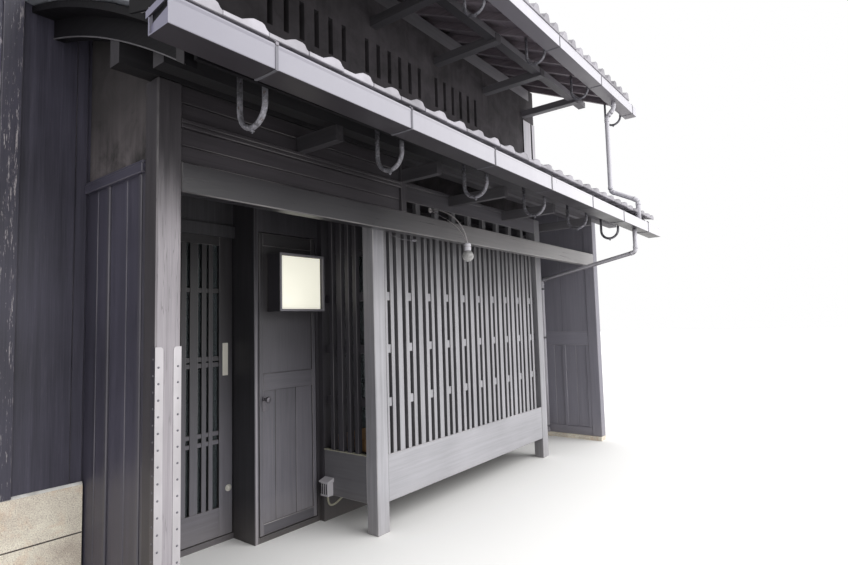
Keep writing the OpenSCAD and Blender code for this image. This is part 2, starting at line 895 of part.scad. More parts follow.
module lower_rafters() {
    color("dimgray") placed() {
        n = floor((front_w - rafter_x - rafter_w / 2) / rafter_step);
        for (i = [0:n]) {
            x = rafter_x + i * rafter_step;
            along_x(x - rafter_w / 2, x + rafter_w / 2)
                polygon(low_band(low_y0, y_main, barge_drop, barge_drop + low_rafter_h));
        }
    }
}

module lower_roof() {
    color("slategray") placed() {
        a = barge_drop + low_rafter_h;
        union() {
            along_x(deck_left, eps)
                polygon(low_band(low_y0, y_main - clad_t, a, a + deck_t));
            along_x(0, x_right) polygon(low_band(low_y0, y_main, a, a + deck_t));
            block(barge_x0, low_y0 - fascia_t, low_eave_z + barge_drop - 15,
                x_right, low_y0, low_eave_z + a + deck_t);
            block(deck_left, low_y0 - fascia_t, low_eave_z + a + deck_t - eps,
                x_right, low_y0 + 10, low_eave_z + a + deck_t + batten_h);
        }
    }
}

module bargeboard() {
    color("dimgray") placed() difference() {
        along_x(barge_x0, barge_x0 + barge_t)
            polygon(low_band(low_y0, y_main - clad_t, 0, barge_drop + low_rafter_h));
        along_x(barge_x0 - 1, barge_x0 + barge_t + 1)
            polygon(under_rafters(0, plate_w, plate_z));
    }
}

// An open box gutter from x0 to x1 with its back at y and its foot at z
module gutter(x0, x1, y, z) {
    t = gutter_t;
    difference() {
        block(x0, y - gutter_w, z, x1, y, z + gutter_h);
        block(x0 + t, y - gutter_w + t, z + t, x1 - t, y - t, z + gutter_h + 1);
    }
}

module gutters() {
    color("gainsboro") placed() {
        translate([0, 0, low_gutter_z]) rotate([0, atan(gutter_fall / 1000), 0])
            gutter(-gutter_end, x_right, low_gut_y1, 0);
        gutter(x_left - verge, x_right + verge, up_y0 - up_gut_gap, up_gutter_z);
        gutter(x_left - verge, x_right + verge, up_y1 + up_gut_gap + gutter_w, up_gutter_z);
    }
}

// A flat band closed round a gutter whose section runs from (y0, z0) to (y1, z1), with an
// arm on top to a face at back, a tail up that face and a peg at the gutter's lip
module strap(y0, y1, z0, z1, back, tail) {
    peg_r = 5;
    union() {
        along_x(-strap_w / 2, strap_w / 2) {
            difference() {
                translate([y0 - strap_t, z0 - strap_t])
                    square([y1 - y0 + 2 * strap_t, z1 - z0 + 2 * strap_t]);
                translate([y0 - seat, z0 - seat])
                    square([y1 - y0 + 2 * seat, z1 - z0 + 2 * seat]);
            }
            translate([y1, z1 + seat]) square([back - y1, strap_t - seat]);
            translate([back - strap_t, z1 + seat]) square([strap_t, tail]);
        }
        translate([0, y0 + 2 * peg_r, z1 + seat]) cylinder(h = 16, r = peg_r, $fn = 24);
    }
}

module gutter_straps() {
    color("gray") placed() {
        n = floor((front_w - strap_x) / strap_step);
        for (i = [0:n]) {
            x = strap_x + i * strap_step;
            z = low_gut_z(x);
            translate([x, 0, 0])
                strap(low_gut_y0, low_gut_y1, z - 0.2, z + gutter_h + 0.2,
                    low_y0 - fascia_t, 25);
        }
        y1 = up_y0 - up_gut_gap;
        for (i = [0:3:up_rafter_n], side = [0, 1])
            translate([up_rafter_x + i * up_rafter_step + side * rafter_lap,
                side == 0 ? 0 : y_main + y_back, 0])
                facing(side)
                    strap(y1 - gutter_w, y1, up_gutter_z, up_gutter_z + gutter_h, up_y0,
                        up_z(up_y0) - up_gutter_z - gutter_h + 50);
    }
}

// The children as they are on side 0, or mirrored front to back on side 1
module facing(side) {
    if (side == 0) children();
    else mirror([0, 1, 0]) children();
}

// A flat bar bent into a U across the street, with its two legs' tops at given heights
module hook(r, t, w, front_leg, back_leg) {
    along_x(-w / 2, w / 2) union() {
        difference() {
            circle(r = r, $fn = 48);
            circle(r = r - t, $fn = 48);
            translate([-r - 1, 0]) square([2 * r + 2, r + 1]);
        }
        translate([-r, -0.01]) square([t, front_leg + 0.01]);
        translate([r - t, -0.01]) square([t, back_leg + 0.01]);
    }
}

module pole_hooks() {
    color("gray") placed() {
        hook_r = 105;
        hook_low = 2360;
        hook_t = 8;
        hook_w = 25;
        y = low_y0 + hook_r;
        z = hook_low + hook_r;
        n = floor((front_w - rafter_x) / (3 * rafter_step));
        for (i = [0:n])
            translate([rafter_x + i * 3 * rafter_step, y, z])
                hook(hook_r, hook_t, hook_w, low_rafter_z(y - hook_r) - z - seat,
                    low_rafter_z(y + hook_r - hook_t) - z - seat);
        up_y = up_y0 + hook_r;
        up_hook = up_hook_z + hook_r;
        for (i = [3:3:up_rafter_n])
            translate([up_rafter_x + i * up_rafter_step, up_y, up_hook])
                hook(hook_r, hook_t, hook_w, up_z(up_y - hook_r) - up_hook - seat,
                    up_z(up_y + hook_r - hook_t) - up_hook - seat);
    }
}

// A clip round a downpipe at point p, with a lug to a wall's face at x1
module clip(p, x1) {
    ring = 3;
    difference() {
        union() {
            translate(p) cylinder(h = 25, r = pipe_r + ring, $fn = 48);
            block(p[0], p[1] - 5, p[2], x1, p[1] + 5, p[2] + 25);
        }
        translate([p[0], p[1], p[2] - 1]) cylinder(h = 27, r = pipe_r + 0.1, $fn = 48);
    }
}

module downpipes() {
    color("gainsboro") placed() {
        low_y = low_gut_y1 - gutter_w / 2;
        up_y = up_y0 - up_gut_gap - gutter_w / 2;
        up_x = front_w - up_pipe_in;
        low_x = front_w - low_pipe_in;
        wall_x = front_w - 46;
        wall_y = y_main - 110;
        socket_pipe([
            [up_x, up_y, up_gutter_z], [up_x, up_y, up_gutter_z - 75],
            [up_x, up_y + 85, up_gutter_z - 160], [up_x, up_y + 85, 2965],
            [up_x, low_y, 2815], [up_x, low_y, low_gut_z(up_x) + 40]
        ], pipe_r, 45);
        socket_pipe([
            [low_x, low_y, low_gut_z(low_x) - 0.6], [low_x, low_y, 2215],
            [wall_x, wall_y, 2030], [wall_x, wall_y, 60]
        ], pipe_r, 60);
        for (c = [
            [end_foot - 30, end_face], [(end_rail_lo + end_rail_hi) / 2, end_face],
            [1900, end_panel]
        ])
            clip([wall_x, wall_y, c[0]], c[1]);
    }
}

lamp_x = 2350;
lamp_y = -178;
lamp_z = 2017;
lamp_r = 62;
lamp_cap = 58;

module lamp_arm() {
    color("gainsboro") placed() {
        base = [lamp_x + 80, bay_y + bay_inset, head_z + 22];
        cap_z = lamp_z + lamp_cap;
        end = [lamp_x, lamp_y, cap_z + 20];
        root = base - [0, 5, 0];
        // the arm and the thinner strand below it
        arm = [root, base - [30, 150, 5], [lamp_x, lamp_y + 13, cap_z + 255], end];
        strand = [root, base - [30, 130, 75], [lamp_x, lamp_y + 43, cap_z + 205], end];
        union() {
            rod(base, base - [0, 8, 0], 21);
            swept_tube([for (i = [0:20]) bezier(arm, i / 20)], 5, 16);
            swept_tube([for (i = [0:20]) bezier(strand, i / 20)], 3, 12);
            translate([lamp_x, lamp_y, cap_z]) cylinder(h = 36, r = 24, $fn = 32);
        }
    }
}

module lamp_globe() {
    color("white") placed() difference() {
        translate([lamp_x, lamp_y, lamp_z]) sphere(r = lamp_r, $fn = 48);
        translate([lamp_x - lamp_r, lamp_y - lamp_r, lamp_z + lamp_cap])
            cube(2 * lamp_r);
    }
}

// A small box with a hood that slopes down and stands out on its three free sides
module outlet_box() {
    color("silver") placed() {
        face = bay_x + bay_inset;
        back = y_main - 15;
        foot = skirt_z + 2;
        deep = 55;
        wide = 80;
        tall = 105;
        out = 9;
        union() {
            block(face - deep, back - wide, foot, face, back, foot + tall + eps);
            translate([0, back + out, 0]) rotate([90, 0, 0])
                linear_extrude(wide + 2 * out) polygon([
                    [face, foot + tall - 4], [face, foot + tall + 26],
                    [face - deep - out, foot + tall + 6], [face - deep - out, foot + tall - 4]
                ]);
        }
    }
}

module upper_front_wall() {
    color("dimgray") placed() difference() {
        union() {
            block(post, y_main, girth_z + girth_h, front_w, y_in, up_plate_z);
            block(front_w - cover_w, y_main - cover_t, cover_z, front_w, y_main + eps,
                cover_top);
        }
        for (g = [0:2], i = [0:slot_n - 1]) {
            x = slot_x + g * window_step + i * slot_step;
            block(x - slot_w / 2, y_main - 1, slot_z, x + slot_w / 2, y_in + 1,
                slot_z + slot_h);
        }
    }
}

// Each party wall carries its gable up to the underside of the rafters, and the right
// one has a cover board beside that of the front wall, with a joint between the two
module party_walls() {
    color("dimgray") placed() {
        joint = 38;
        along_x(x_left, x_in) polygon(under_upper(y_main, y_back, 0));
        union() {
            along_x(front_w, x_right) polygon(under_upper(y_main, y_back, 0));
            block(front_w + joint, y_main - cover_t, cover_z, x_right, y_main + eps,
                cover_top);
        }
    }
}

module rear_wall() {
    color("dimgray") placed() difference() {
        block(x_in, y_back_in, 0, front_w, y_back, up_plate_z);
        for (z = [[rear_low_z, rear_low_h], [rear_high_z, rear_high_h]])
            block(rear_x, y_back_in - 1, z[0], rear_x + rear_w, y_back + 1, z[0] + z[1]);
    }
}

// A window frame with n lights side by side, its outer face at y and the frame behind
module window_frame(x0, x1, z0, z1, y, n) {
    pitch = (x1 - x0 - frame_w) / n;
    difference() {
        block(x0, y, z0, x1, y + frame_d, z1);
        for (i = [0:n - 1])
            block(x0 + frame_w + i * pitch, y - 1, z0 + frame_w,
                x0 + (i + 1) * pitch, y + frame_d + 1, z1 - frame_w);
    }
}

reveal = 35;

module window_frames() {
    color("dimgray") placed() {
        window_frame(bay_in0, bay_x1 - post, bay_sill, bay_head_top, y_main + reveal, 4);
        for (z = [[rear_low_z, rear_low_h], [rear_high_z, rear_high_h]])
            window_frame(rear_x, rear_x + rear_w, z[0], z[0] + z[1],
                y_back - reveal - frame_d, 2);
    }
}

module window_panes() {
    color("lightblue") placed() {
        block(bay_in0, y_main + reveal + frame_d, bay_sill, bay_x1 - post,
            y_main + reveal + frame_d + glass_t, bay_head_top);
        for (z = [[rear_low_z, rear_low_h], [rear_high_z, rear_high_h]])
            block(rear_x, y_back - reveal - frame_d - glass_t, z[0], rear_x + rear_w,
                y_back - reveal - frame_d, z[0] + z[1]);
    }
}

module ground_floor() {
    color("gray") placed() {
        y_step = door_y1 + clear;
        linear_extrude(sill_h) polygon([
            [x_in, y_step], [jamb_x, y_step], [jamb_x, y_step + 20],
            [jamb_x + jamb_w, y_step + 20], [jamb_x + jamb_w, y_in], [front_w, y_in],
            [front_w, y_back_in], [x_in, y_back_in]
        ]);
    }
}

module upper_floor() {
    color("burlywood") placed()
        block(x_in, y_in, girth_z, front_w, y_back_in, girth_z + girth_h);
}

// The rafters of the two slopes lap side by side over the ridge beam
module upper_rafters() {
    color("dimgray") placed() {
        for (i = [0:up_rafter_n], side = [0, 1]) {
            x = up_rafter_x + i * up_rafter_step + side * rafter_lap;
            y = side == 0 ? up_y0 : up_y1;
            along_x(x - rafter_w / 2, x + rafter_w / 2) polygon([
                [y, up_z(y)], [y_ridge, up_z(y_ridge)],
                [y_ridge, up_z(y_ridge) + up_rafter_h], [y, up_z(y) + up_rafter_h]
            ]);
        }
    }
}

// The boards and tile bed of one slope
module upper_deck(y0, y1) {
    a = up_rafter_h;
    b = up_rafter_h + up_deck_t;
    along_x(x_left - verge, x_right + verge) polygon([
        [y0, up_z(y0) + a], [y1, up_z(y1) + a], [y1, up_z(y1) + b], [y0, up_z(y0) + b]
    ]);
}

module upper_roof_front() {
    color("slategray") placed() upper_deck(up_y0 - deck_lip, y_ridge);
}

module upper_roof_rear() {
    color("slategray") placed() upper_deck(y_ridge, up_y1 + deck_lip);
}

// A bed on both slopes, three courses of flat tiles, a round cap and an end tile at
// each gable
module ridge() {
    color("slategray") placed() {
        bed_half = 112;
        bed_h = 32;
        course_h = 20;
        course_half = [122, 110, 98];
        cap_r = 66;
        end_half = 128;
        end_r = 92;
        end_t = 48;
        end_h = 200;
        top = up_z(y_ridge) + up_rafter_h + up_deck_t;
        x0 = x_left - verge;
        x1 = x_right + verge;
        union() {
            along_x(x0, x1) {
                ridge_foot(bed_half, top, bed_h);
                for (i = [0:2])
                    translate([y_ridge - course_half[i], top + bed_h + i * course_h - eps])
                        square([2 * course_half[i], course_h + eps]);
                translate([y_ridge, top + bed_h + 3 * course_h]) circle(r = cap_r, $fn = 64);
            }
            for (x = [x0, x1 - end_t])
                along_x(x, x + end_t) {
                    ridge_foot(end_half, top, end_h - end_r);
                    translate([y_ridge, top + end_h - end_r]) circle(r = end_r, $fn = 64);
                }
        }
    }
}

// Outline astride the ridge, its foot on both slopes and its top h above their meeting
module ridge_foot(half, top, h) {
    foot = top - half * up_pitch;
    polygon([
        [y_ridge - half, foot], [y_ridge, top], [y_ridge + half, foot],
        [y_ridge + half, top + h], [y_ridge - half, top + h]
    ]);
}

stone_base();
left_wing_wall();
corner_post();
post_guards();
left_sleeve_wall();
entrance_surround();
entrance_door();
service_door();
service_knob();
sign_box();
service_frame();
bay_posts();
bay_front_lattice();
bay_left_lattice();
bay_right_lattice();
bay_skirt();
bay_head();
bay_boards();
lower_main_wall();
end_wall();
lintel();
transom();
long_beams();
eave_arms();
lower_rafters();
lower_roof();
bargeboard();
gutters();
gutter_straps();
pole_hooks();
downpipes();
lamp_arm();
lamp_globe();
outlet_box();
upper_front_wall();
party_walls();
rear_wall();
window_frames();
window_panes();
ground_floor();
upper_floor();
upper_rafters();
upper_roof_front();
upper_roof_rear();
ridge();
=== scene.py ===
"""Looks of a machiya townhouse: charred and stained timber, smoked clay tiles, folded metal
gutters and dark plaster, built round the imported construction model. The model is in metres,
and pieces are given in the house's own millimetres."""

import math
from functools import partial

import bpy
import numpy as np
from bpy.props import FloatProperty, FloatVectorProperty, PointerProperty
from mathutils import Matrix, Vector


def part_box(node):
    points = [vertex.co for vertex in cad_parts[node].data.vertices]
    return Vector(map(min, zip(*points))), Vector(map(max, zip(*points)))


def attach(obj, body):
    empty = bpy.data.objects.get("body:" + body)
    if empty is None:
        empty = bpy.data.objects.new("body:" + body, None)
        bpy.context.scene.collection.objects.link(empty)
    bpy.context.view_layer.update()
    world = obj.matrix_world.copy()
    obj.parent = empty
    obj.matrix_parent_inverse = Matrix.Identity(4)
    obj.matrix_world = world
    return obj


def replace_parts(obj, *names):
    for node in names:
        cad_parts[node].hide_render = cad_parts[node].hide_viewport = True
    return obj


bl_info = {
    "name": "Machiya townhouse",
    "version": (1, 0, 0),
    "blender": (4, 5, 0),
    "location": "3D View > Sidebar > Machiya",
    "description": "Builds the finishes and fine parts of a timber townhouse",
    "category": "Object",
}

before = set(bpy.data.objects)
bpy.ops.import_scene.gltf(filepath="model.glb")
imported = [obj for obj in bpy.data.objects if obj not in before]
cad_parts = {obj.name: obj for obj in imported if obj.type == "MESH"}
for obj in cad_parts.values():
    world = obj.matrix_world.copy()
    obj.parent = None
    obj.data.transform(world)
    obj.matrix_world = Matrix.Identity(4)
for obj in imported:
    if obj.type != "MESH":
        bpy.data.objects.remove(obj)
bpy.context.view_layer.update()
# The model's origin in the house's own millimetres: X from the corner post's left face, Y
# from its street face, Z from the ground
ORIGIN = np.array([2366, 4328.5, 0])


def linear(code):
    """The three linear parts of an sRGB colour given as hex."""
    parts = [int(code[i:i + 2], 16) / 255 for i in (1, 3, 5)]
    return tuple(c / 12.92 if c <= 0.04045 else ((c + 0.055) / 1.055) ** 2.4 for c in parts)


def shade(name, code, text):
    """A colour property with its default from hex."""
    return FloatVectorProperty(name=name, description=text, subtype="COLOR", size=3,
                               min=0.0, max=1.0, default=linear(code))


def length(name, metres, text):
    """A length property in metres."""
    return FloatProperty(name=name, description=text, subtype="DISTANCE", unit="LENGTH",
                         default=metres, min=0.0, max=10.0, precision=4)


class MachiyaColours(bpy.types.PropertyGroup):
    """Colours of the finishes."""

    board: shade("Wing boards", "#403e4b", "Stained boards in the shade of the wing wall")
    timber: shade("Dark timber", "#3a383d", "Stained frame timber of doors and bay")
    # side, street, worn and door: the pale street tones are weathering with painted light in them,
    # and the darker side tone is painted shade
    side: shade("Timber sides", "#605f63", "Stain in the lee of the street faces")
    street: shade("Street timber", "#a6a5aa", "Stain of the bay bleached by rain and sun")
    worn: shade("Worn post", "#959095", "Post face worn back to the wood")
    beam: shade("Lintel", "#29272b", "Planed and oiled street lintel")
    # Weathered, and pale with painted light for the glare that fills the end wall's shade
    end: shade("End wall", "#8f8d98", "Weathered boards of the porch's end wall")
    door: shade("Doors", "#68666d", "Oiled door timber that the rain reaches")
    soot: shade("Sooty timber", "#141316", "Verge board and the sooty roof timbers")
    brown: shade("Rafter brown", "#8a8087", "Iron oxide stain of the upper rafters")
    plaster: shade("Grey plaster", "#464246", "Lime plaster darkened with ash")
    tile: shade("Smoked tile", "#7d8088", "Smoked clay roof tile")
    # Used only as the lower gutter's near tone, darker than the rest of it by painted light
    gutter: shade("Gutter metal", "#8e8c98", "Painted steel of gutters and pipes")
    pipe: shade("Pipe metal", "#d8d6de", "Pale paint of downpipes and upper gutters")
    strap: shade("Strap iron", "#7a7980", "Dull galvanised strap and hook iron")
    guard: shade("Guard steel", "#c9c5c9", "Galvanised edge guards of the corner post")
    stone: shade("Tan stone", "#f9e6d6", "Dressed tuff of the base")
    concrete: shade("Concrete", "#9b9893", "Floor and thresholds")
    floor_wood: shade("Floor boards", "#8a6a48", "Boards of the upper floor")
    eave: shade("Eave tile", "#aaa7ae", "Rain-washed tile of the eave courses")
    glow: shade("Sign face", "#ebe9da", "Lit face of the sign box")


class MachiyaTimber(bpy.types.PropertyGroup):
    """Sizes of the timber pieces."""

    arris: length("Planed edge", 0.003, "Width of the planed edge of a timber")
    gap: length("Bar gap", 0.042, "Clear gap between the lattice bars")
    wide: length("Wide bar", 0.056, "Width of every third lattice bar")
    thin: length("Narrow bar", 0.038, "Width of the lattice bars between")
    tie: length("Tie height", 0.064, "Height of a lattice tie")


class MachiyaRoof(bpy.types.PropertyGroup):
    """Sizes of the tiles."""

    tile_w: length("Tile width", 0.2075, "Working width of a pantile")
    tile_t: length("Tile thickness", 0.017, "Thickness of a tile's edge")
    roll: length("Roll height", 0.030, "Height of the roll above the trough")


class MachiyaStage(bpy.types.PropertyGroup):
    """Floor and light."""

    floor: shade("Floor", "#f1f0ee", "Plain pale floor")
    sky: FloatProperty(name="Sky", description="Strength of the even light", default=1.0,
                       min=0.0, max=2.0)
    key: FloatProperty(name="Key", description="Strength of the soft light from the street",
                       default=1.5, min=0.0, max=5.0)


# Materials ------------------------------------------------------------------------------

def add(tree, kind, *values, **settings):
    """Adds one node. The values fill its inputs in order, and settings with a capital are
    inputs by name; the others are the node's own. A node as a value is linked by its first
    output. Every mix here is one of colours."""
    node = tree.nodes.new("ShaderNode" + kind)
    if kind == "Mix":
        node.data_type = "RGBA"
    named = {key: settings.pop(key) for key in list(settings) if key[0].isupper()}
    for key, value in settings.items():
        setattr(node, key, value)
    pairs = list(zip([socket for socket in node.inputs if socket.enabled], values))
    pairs += [(node.inputs[key.replace("_", " ")], value) for key, value in named.items()]
    for socket, value in pairs:
        if isinstance(value, bpy.types.Node):
            value = next(output for output in value.outputs if output.enabled)
        if isinstance(value, bpy.types.NodeSocket):
            tree.links.new(value, socket)
        else:
            socket.default_value = value
    return node


def material(name, surface, **settings):
    """A new material: the surface adds its nodes and gives the inputs of the shader."""
    made = bpy.data.materials.new(name)
    made.use_nodes = True
    made.node_tree.nodes.clear()
    put = partial(add, made.node_tree)
    put("OutputMaterial", put("BsdfPrincipled", **surface(put, **settings)))
    return made


def rgba(colour, gain=1.0):
    """A colour as a shader takes it, from hex, the name of a colour property or its linear
    parts, times the gain."""
    if isinstance(colour, str):
        known = bpy.context.scene.machiya_colours
        colour = linear(colour) if colour[0] == "#" else getattr(known, colour)
    return tuple(min(c * gain, 1.0) for c in colour) + (1.0,)


def lengthwise(put, way):
    """Coordinates in metres whose Z runs along the grain: a piece's own, or the object's."""
    if way == "grain":
        return put("Attribute", attribute_name="grain").outputs["Vector"]
    parts = put("SeparateXYZ", put("TexCoord").outputs["Object"]).outputs
    return put("CombineXYZ", *(parts[("xyz".index(way) + k) % 3] for k in (1, 2, 3)))


def turned_to(put, axis, low, high):
    """How far a face looks along one axis of its object: 0 at low, 1 at high."""
    part = put("SeparateXYZ", put("TexCoord").outputs["Normal"]).outputs[axis]
    return put("MapRange", part, low, high)


def stained_timber(put, way, base, face=None, wear=0.2, rough=0.5, dust=0.35, checks=0.0,
                   shelter=(2.4, 1.8), flecks=0.0, spread=1.0, far=None, belly=None,
                   polish=0.5):
    """Cedar, sawn and planed, stained with soot and oil. The eye sees fine streaks along
    the grain, boards of slightly different tone, street faces bleached and given painted
    light and shade below a line that follows the eave's rain shelter and shade, arrises worn
    pale with a painted highlight, drying checks, and dust near the ground. far is the
    tone, a painted sheen, that a long beam takes on at its open end, belly the
    painted shade of its underside at the other end. Soot takes the polish."""
    place = put("TexCoord").outputs["Object"]
    x, y, z = put("SeparateXYZ", place).outputs
    along = lengthwise(put, way)
    # Fibres 1 mm apart would vanish, so the streaks are 5 mm apart and 250 mm long
    streak = put("TexNoise", put("Mapping", along, Scale=(200, 200, 4)), 1.0, 3.0, 0.6)
    # Growth bands 25 mm apart that wander along the board
    band = put("TexNoise", put("Mapping", along, Scale=(40, 40, 1.2)), 1.0, 2.0)
    # Patches 600 mm wide over the whole house
    patch = put("TexNoise", place, 1.7, 4.0)
    tone = put("Attribute", attribute_name="tone").outputs["Fac"]
    mixed = put("Math", put("Math", streak, band), patch)
    mixed = put("Math", tone, 0.45, mixed, operation="MULTIPLY_ADD")
    share = put("MapRange", mixed, 1.1, 2.3)
    colour = put("Mix", share, rgba(base, 1 - 0.38 * spread), rgba(base, 1 + 0.5 * spread))
    if face:
        # Street faces take the face tone below a line that falls by this much for each metre
        # further in under the eave, counted from the post's street face: partly bleaching where
        # the eave keeps the rain off, partly painted light and shade that follow the eave's shade
        fall, street_face = 1.1, ORIGIN[1] / 1000
        bleached_and_lit = put("Mix", share, rgba(face, 1 - 0.34 * spread), rgba(face, 1 + 0.3 * spread))
        line = put("Math", y, fall, fall * street_face, operation="MULTIPLY_ADD")
        ragged = put("Math", band, 0.3, put("Math", line, z), operation="MULTIPLY_ADD")
        reach = put("MapRange", ragged, shelter[0] + 0.15, shelter[1] + 0.15,
                    interpolation_type="SMOOTHSTEP")
        # Only faces that look at the street take it; their sides keep the base, a shaded copy of
        # the same stain
        reach = put("Math", reach, turned_to(put, 1, -0.4, -0.9), operation="MULTIPLY")
        colour = put("Mix", reach, colour, bleached_and_lit)
    # Painted sheen: the tone lightens towards the far end, where the street's light glances along
    # a long beam
    if far:
        run = put("MapRange", x, -0.9, 2.8)
        colour = put("Mix", run, colour, put("Mix", share, rgba(far, 0.8), rgba(far, 1.2)))
    # Painted shade on faces that look down, darkest at the near end
    if far and belly:
        shaded_underside = put("Mix", run, rgba(belly), rgba(belly, 11))
        colour = put("Mix", turned_to(put, 2, -0.4, -0.9), colour, shaded_underside)
    # Arrises rubbed pale, with a painted highlight where they catch the light
    edge = put("Attribute", attribute_name="edge").outputs["Fac"]
    rubbed_and_highlit = put("MapRange", patch, 0.35, 0.65, 0.0, wear)
    rubbed_and_highlit = put("Math", rubbed_and_highlit, edge, operation="MULTIPLY")
    colour = put("Mix", rubbed_and_highlit, colour, rgba("#cfcaca"))
    # Splash and dust on the lowest 320 mm
    low = put("Math", put("MapRange", z, 0.32, 0.0, 0.0, dust), patch, operation="MULTIPLY")
    colour = put("Mix", low, colour, rgba("#a39b93"))
    if flecks:
        # Flakes 4 by 50 mm where the stain has let go, in rows along the growth bands of the
        # batten and the boards left of it
        loose = put("Mapping", along, Scale=(230, 230, 18))
        loose = put("TexNoise", loose, 1.0, 3.0, 0.65)
        loose = put("Math", band, 0.55, loose, operation="MULTIPLY_ADD")
        loose = put("MapRange", loose, 0.89, 0.96, 0.0, flecks)
        left = put("MapRange", x, -2.68, -2.70, 0.03)
        loose = put("Math", loose, left, operation="MULTIPLY")
        colour = put("Mix", loose, colour, rgba("#b9b2b4"))
    relief = streak
    if checks:
        # Drying checks: thin lines where a noise drawn out along the grain crosses its middle
        drawn = put("Mapping", along, Scale=(55, 55, 1.6))
        crack = put("Math", put("TexNoise", drawn, 1.0, 2.5), 0.5, operation="SUBTRACT")
        crack = put("Math", crack, operation="ABSOLUTE")
        crack = put("MapRange", crack, 0.003, 0.012, checks, 0.0)
        colour = put("Mix", crack, colour, rgba("#2b292b"))
        relief = put("Math", streak, crack, operation="SUBTRACT")
    gloss = put("MapRange", mixed, 1.1, 2.2, rough - 0.06, rough + 0.1)
    return dict(Base_Color=colour, Roughness=gloss, Specular_IOR_Level=polish,
                Normal=put("Bump", Height=relief, Strength=0.35, Distance=0.0012))


def lime_plaster(put, base, mottle, soot=None, damp=0.0):
    """Lime plaster with ash, floated by hand: matt, cloudy in patches as wide as a hand's
    reach, rain runs, and a fine sand texture. soot is painted shade under the eave: the
    plaster darkens between two heights. damp is how far the end over the
    entrance is darkened."""
    place = put("TexCoord").outputs["Object"]
    # Clouds 220 mm wide
    cloud = put("TexNoise", place, 4.5, 6.0, 0.62, Distortion=0.6)
    # Rain runs 40 mm apart down the wall
    run = put("TexNoise", put("Mapping", place, Scale=(25, 25, 0.8)), 1.0, 3.0)
    share = put("Math", run, 0.25, cloud, operation="MULTIPLY_ADD")
    share = put("MapRange", share, 0.42, 0.82)
    colour = put("Mix", share, rgba(base, 1 - mottle), rgba(base, 1 + mottle))
    # Painted shade under the eave: the plaster darkens between two heights
    if soot:
        high = put("SeparateXYZ", place).outputs[2]
        high = put("Math", cloud, 0.5, high, operation="MULTIPLY_ADD")
        high = put("MapRange", high, soot[0] + 0.25, soot[1] + 0.25, 0.0, 0.8)
        colour = put("Mix", high, colour, rgba(base, 0.3))
    # Darker towards the end over the entrance
    if damp:
        along = put("SeparateXYZ", place).outputs[0]
        along = put("MapRange", along, -1.9, 0.2, damp, 0.0)
        colour = put("Mix", along, colour, rgba(base, 0.2))
    # Sand grains 2 mm apart, drawn at 4 mm
    sand = put("TexNoise", place, 250.0, 2.0)
    return dict(Base_Color=colour, Roughness=0.85,
                Normal=put("Bump", Height=sand, Strength=0.25, Distance=0.001))


def smoked_clay(put, base):
    """Roof tile fired in smoke: a silver-grey skin of carbon with a soft sheen, each tile a
    little different, clouded, with a gritty face."""
    place = put("TexCoord").outputs["Object"]
    tone = put("Attribute", attribute_name="tone").outputs["Fac"]
    # Clouds 110 mm wide, and grit of the clay 6 mm apart
    cloud = put("TexNoise", place, 9.0, 5.0)
    grit = put("TexNoise", place, 160.0, 2.0)
    share = put("Math", tone, 0.55, cloud, operation="MULTIPLY_ADD")
    share = put("MapRange", share, 0.35, 1.1)
    return dict(Base_Color=put("Mix", share, rgba(base, 0.6), rgba(base, 1.3)),
                Roughness=put("MapRange", cloud, 0.0, 1.0, 0.34, 0.6), Metallic=0.15,
                Normal=put("Bump", Height=grit, Strength=0.15, Distance=0.001))


def painted_sheet(put, base, rough=0.3, metal=0.0, soil=0.2, under=None, lee=None,
                  near=None):
    """Steel sheet with a baked paint: even, half gloss, with faint pale runs. under is painted
    shade on faces that look down, lee painted shade on those that look along the
    street, and near the darker tone of the near end, left out of the painted light that
    brightens the rest of the run."""
    place = put("TexCoord").outputs["Object"]
    # Runs 33 mm wide and 200 mm long, and clouds 250 mm wide
    run = put("TexNoise", put("Mapping", place, Scale=(30, 30, 5)), 1.0, 4.0)
    cloud = put("TexNoise", place, 4.0, 2.0)
    share = put("Math", run, cloud, operation="MULTIPLY")
    share = put("MapRange", share, 0.1, 0.4, soil, 0.0)
    colour = put("Mix", share, rgba(base), rgba(base, 0.45))
    # Painted light: the run darkens towards its near end, so that the far end looks lit by the
    # street's glare
    if near:
        along = put("SeparateXYZ", place).outputs[0]
        colour = put("Mix", put("MapRange", along, 1.0, -2.7), colour, rgba(near))
    # Painted shade on faces that look along the street and on faces that look down
    for painted_shade_tint, axis, low, high in ((lee, 0, -0.3, -0.8), (under, 2, -0.5, -0.9)):
        if painted_shade_tint:
            colour = put("Mix", turned_to(put, axis, low, high), colour, rgba(painted_shade_tint))
    gloss = put("MapRange", cloud, 0.0, 1.0, rough - 0.08, rough + 0.16)
    return dict(Base_Color=colour, Roughness=gloss, Metallic=metal,
                Normal=put("Bump", Height=cloud, Strength=0.05, Distance=0.003))


def worn_iron(put, base):
    """Flat iron, hot-dip galvanised and long weathered: dull grey in cloudy spangles, with
    white bloom and small rusty scars."""
    place = put("TexCoord").outputs["Object"]
    # Spangles 12 mm, clouds 45 mm and scars 17 mm across
    cell = put("SeparateColor", put("TexVoronoi", place, 85.0).outputs["Color"])
    cloud = put("TexNoise", place, 22.0, 5.0)
    both = put("Math", cell, 0.35, cloud, operation="MULTIPLY_ADD")
    colour = put("Mix", put("MapRange", both, 0.4, 0.95), rgba(base, 0.5), rgba(base, 1.6))
    scar = put("MapRange", put("TexNoise", place, 60.0, 3.0), 0.64, 0.7, 0.0, 0.7)
    return dict(Base_Color=put("Mix", scar, colour, rgba("#54433a")), Metallic=0.45,
                Roughness=put("MapRange", both, 0.4, 0.95, 0.62, 0.4),
                Normal=put("Bump", Height=both, Strength=0.2, Distance=0.001))


